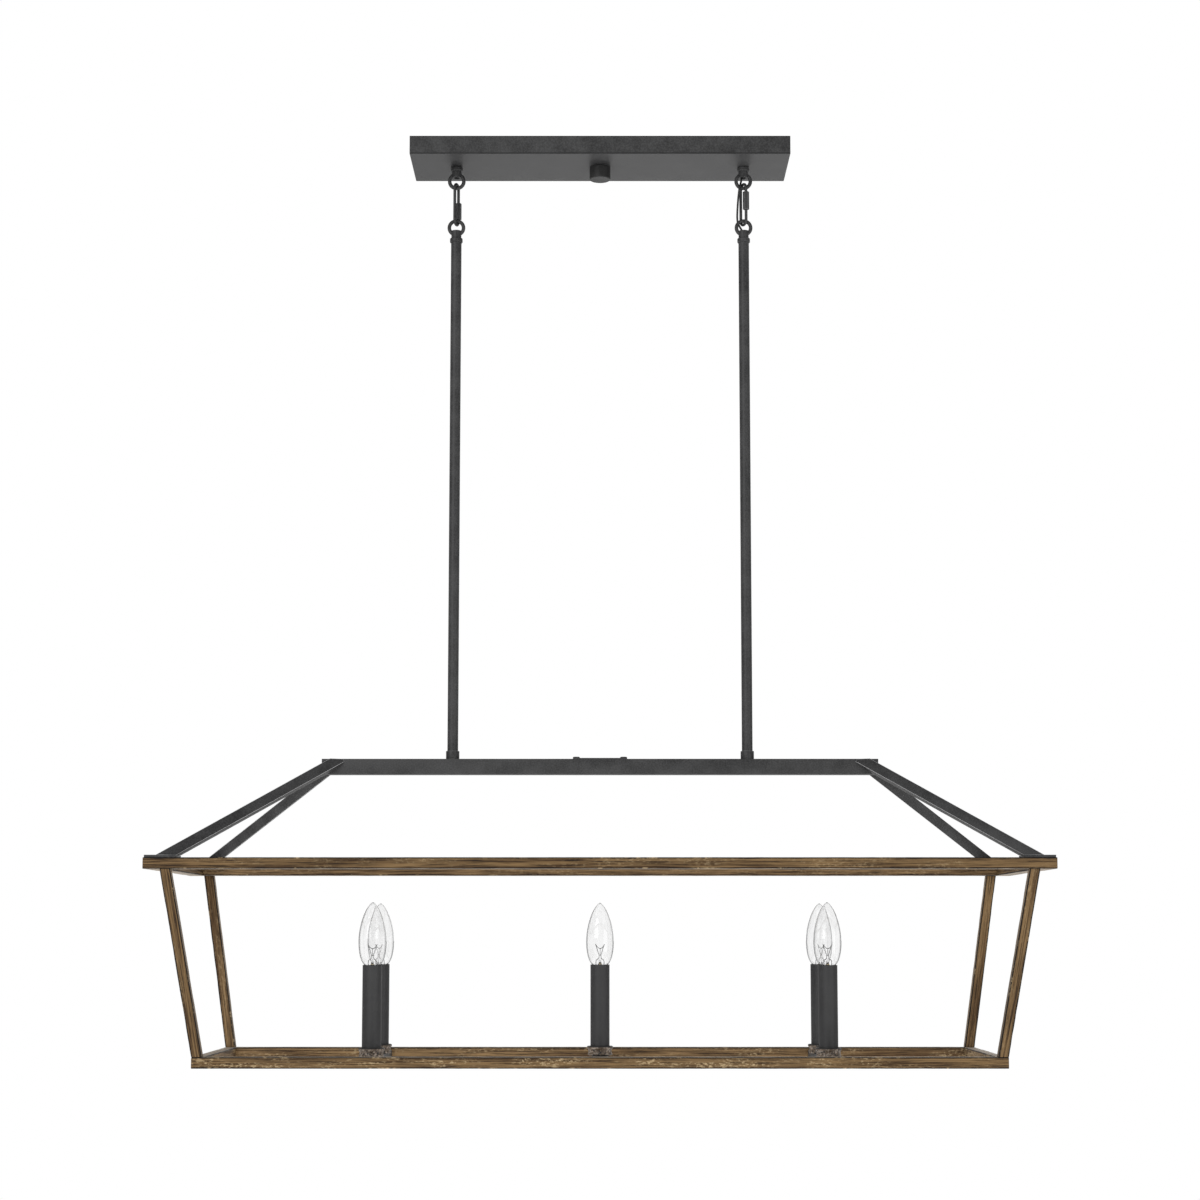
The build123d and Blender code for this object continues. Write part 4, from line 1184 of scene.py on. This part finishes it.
# ---- Wiring -------------------------------------------------------------------------
@dataclass
class LeadCord:
    """Exposed supply lead from the right canopy loop to the right stem loop."""

    palette: Palette
    radius: float = 1.2 * MM
    split: float = -68.0 * MM
    stem_x: float = 174.0  # in mm, like the points, which are measured from it
    points: tuple[tuple[float, float, float], ...] = (
        (-1.6, 0.0, -26.25),
        (-1.6, 0.0, -36.1),
        (-4.7, -4.6, -47.3),
        (-6.2, -2.6, -58.3),
        (-7.4, 0.8, -75.9),
        (-7.4, 4.9, -88.55),
        (-4.0, 2.2, -96.35),
        (-1.6, 0.0, -100.75),
        (-1.6, 0.0, -110.4),
    )

    def build(self) -> None:
        """Make the lead in two pieces, cut at one height."""
        route = [Vector((self.stem_x + x, y, z)) * MM for x, y, z in self.points]
        body = Body.LINK_RIGHT.value
        whole = wire_piece("lead_whole", route, self.radius, self.palette["insulation"], body, 16)
        halves = (
            ("lead_cord_upper", True, Body.CANOPY, Body.LINK_RIGHT, -40.0, -60.0),
            ("lead_cord_lower", False, Body.LINK_RIGHT, Body.PENDANT, -78.0, -98.0),
        )
        for name, upper, first, second, start, end in halves:
            bm = bmesh.new()
            bm.from_mesh(whole.data)
            everything = list(bm.verts) + list(bm.edges) + list(bm.faces)
            cut = bmesh.ops.bisect_plane(
                bm,
                geom=everything,
                dist=1e-7,
                plane_co=(0, 0, self.split),
                plane_no=(0, 0, 1),
                clear_inner=upper,
                clear_outer=not upper,
            )
            rim = [g for g in cut["geom_cut"] if isinstance(g, bmesh.types.BMEdge)]
            bmesh.ops.edgeloop_fill(bm, edges=rim)
            for face in bm.faces:
                face.smooth = True
            piece = new_object(name, bm, self.palette["insulation"])
            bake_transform(piece)
            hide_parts("lead_cord")
        bpy.data.objects.remove(whole)


class Wiring(Assembly):
    """Leads, splices and the fittings inside the canopy."""

    def build(self) -> None:
        """Dress the inner wires and make the exposed lead."""
        for node in ("canopy_lead", "pendant_wires"):
            dress_node(node, self.palette["insulation"])
        dress_node("wire_connectors", self.palette["connector"])
        for node in ("mounting_strap", "canopy_stud", "strap_hardware", "loop_nuts"):
            dress_node(node, self.palette["zinc"])
        LeadCord(self.palette).build()


# ---- Studio -------------------------------------------------------------------------
@dataclass
class Studio:
    """Camera, floor, white surroundings and soft lights, in metres and watts."""

    camera_place: tuple[float, float, float] = (0.0, -2.740, -0.953)
    pitch: float = 0.1115
    lens: float = 69.75
    shift: float = 0.065
    floor_drop: float = 2.6
    floor_radius: float = 11.0
    floor_glow: float = 0.38
    sky: float = 0.42
    aim: tuple[float, float, float] = (0.0, 0.0, -0.6)
    lights: tuple[tuple, ...] = (
        ("key_box", (-1.9, -3.0, 0.4), 2.2, 44.0),
        ("fill_box", (2.3, -2.4, -0.9), 2.2, 19.0),
        ("low_box", (0.0, -1.8, -2.4), 2.4, 17.0),
        ("back_box", (0.6, 2.8, 0.2), 2.4, 18.0),
    )

    def build(self) -> None:
        """Set up everything round the lamp."""
        self._camera()
        self._floor()
        self._world()
        for light in self.lights:
            self._light(*light)
        bpy.context.scene.view_settings.view_transform = "Standard"
        bpy.context.scene.view_settings.look = "None"

    def _camera(self) -> None:
        """Camera at the photograph's viewing angle."""
        data = bpy.data.cameras.new("camera")
        data.lens = self.lens
        data.shift_y = self.shift
        camera = bpy.data.objects.new("camera", data)
        bpy.context.scene.collection.objects.link(camera)
        camera.location = self.camera_place
        camera.rotation_euler = (math.pi / 2 + self.pitch, 0.0, 0.0)
        bpy.context.scene.camera = camera

    def _floor(self) -> None:
        """Pale floor well below the lamp."""
        bm = bmesh.new()
        bmesh.ops.create_circle(bm, cap_ends=True, segments=128, radius=self.floor_radius)
        bmesh.ops.translate(bm, vec=(0, 0, -self.floor_drop), verts=bm.verts)
        made, _, shader = start_material("pale_floor")
        shader.inputs["Base Color"].default_value = (0.93, 0.93, 0.93, 1.0)
        shader.inputs["Roughness"].default_value = 0.9
        shader.inputs["Emission Color"].default_value = (1.0, 1.0, 1.0, 1.0)
        shader.inputs["Emission Strength"].default_value = self.floor_glow
        floor = new_object("floor", bm, made)

    def _world(self) -> None:
        """White behind and through the glass, softer grey for the lamp's own light."""
        world = bpy.data.worlds.new("studio")
        world.use_nodes = True
        graph = Graph(world.node_tree)
        graph.tree.nodes.clear()
        path = graph.node("ShaderNodeLightPath")
        seen = graph.math("ADD", path.outputs["Is Camera Ray"], path.outputs["Is Transmission Ray"])
        white = graph.node("ShaderNodeBackground", {"Color": (1, 1, 1, 1), "Strength": 1.0})
        grey = graph.node("ShaderNodeBackground", {"Color": (1, 1, 1, 1), "Strength": self.sky})
        mixed = graph.node("ShaderNodeMixShader", {0: seen, 1: grey.outputs[0], 2: white.outputs[0]})
        graph.node("ShaderNodeOutputWorld", {"Surface": mixed.outputs[0]})
        bpy.context.scene.world = world

    def _light(self, name: str, place: tuple[float, float, float], size: float, power: float) -> None:
        """One square soft box aimed at the middle of the lamp.

        Args:
            name: Name of the light.
            place: Its place in metres.
            size: Side of the box in metres.
            power: Power in watts.
        """
        data = bpy.data.lights.new(name, "AREA")
        data.size = size
        data.energy = power
        light = bpy.data.objects.new(name, data)
        light.location = place
        look = Vector(self.aim) - Vector(place)
        light.rotation_euler = look.to_track_quat("-Z", "Y").to_euler()
        light.visible_camera = False
        light.visible_transmission = False
        bpy.context.scene.collection.objects.link(light)


def main() -> None:
    """Build the studio and the lamp's pieces in order."""
    logging.basicConfig(level=logging.INFO, format="%(name)s: %(message)s")
    Studio().build()
    palette = Palette(Groups())
    Cage(palette).build()
    IronFrame(palette).build()
    Candles(palette).build()
    Wiring(palette).build()


if __name__ == "__main__":
    main()
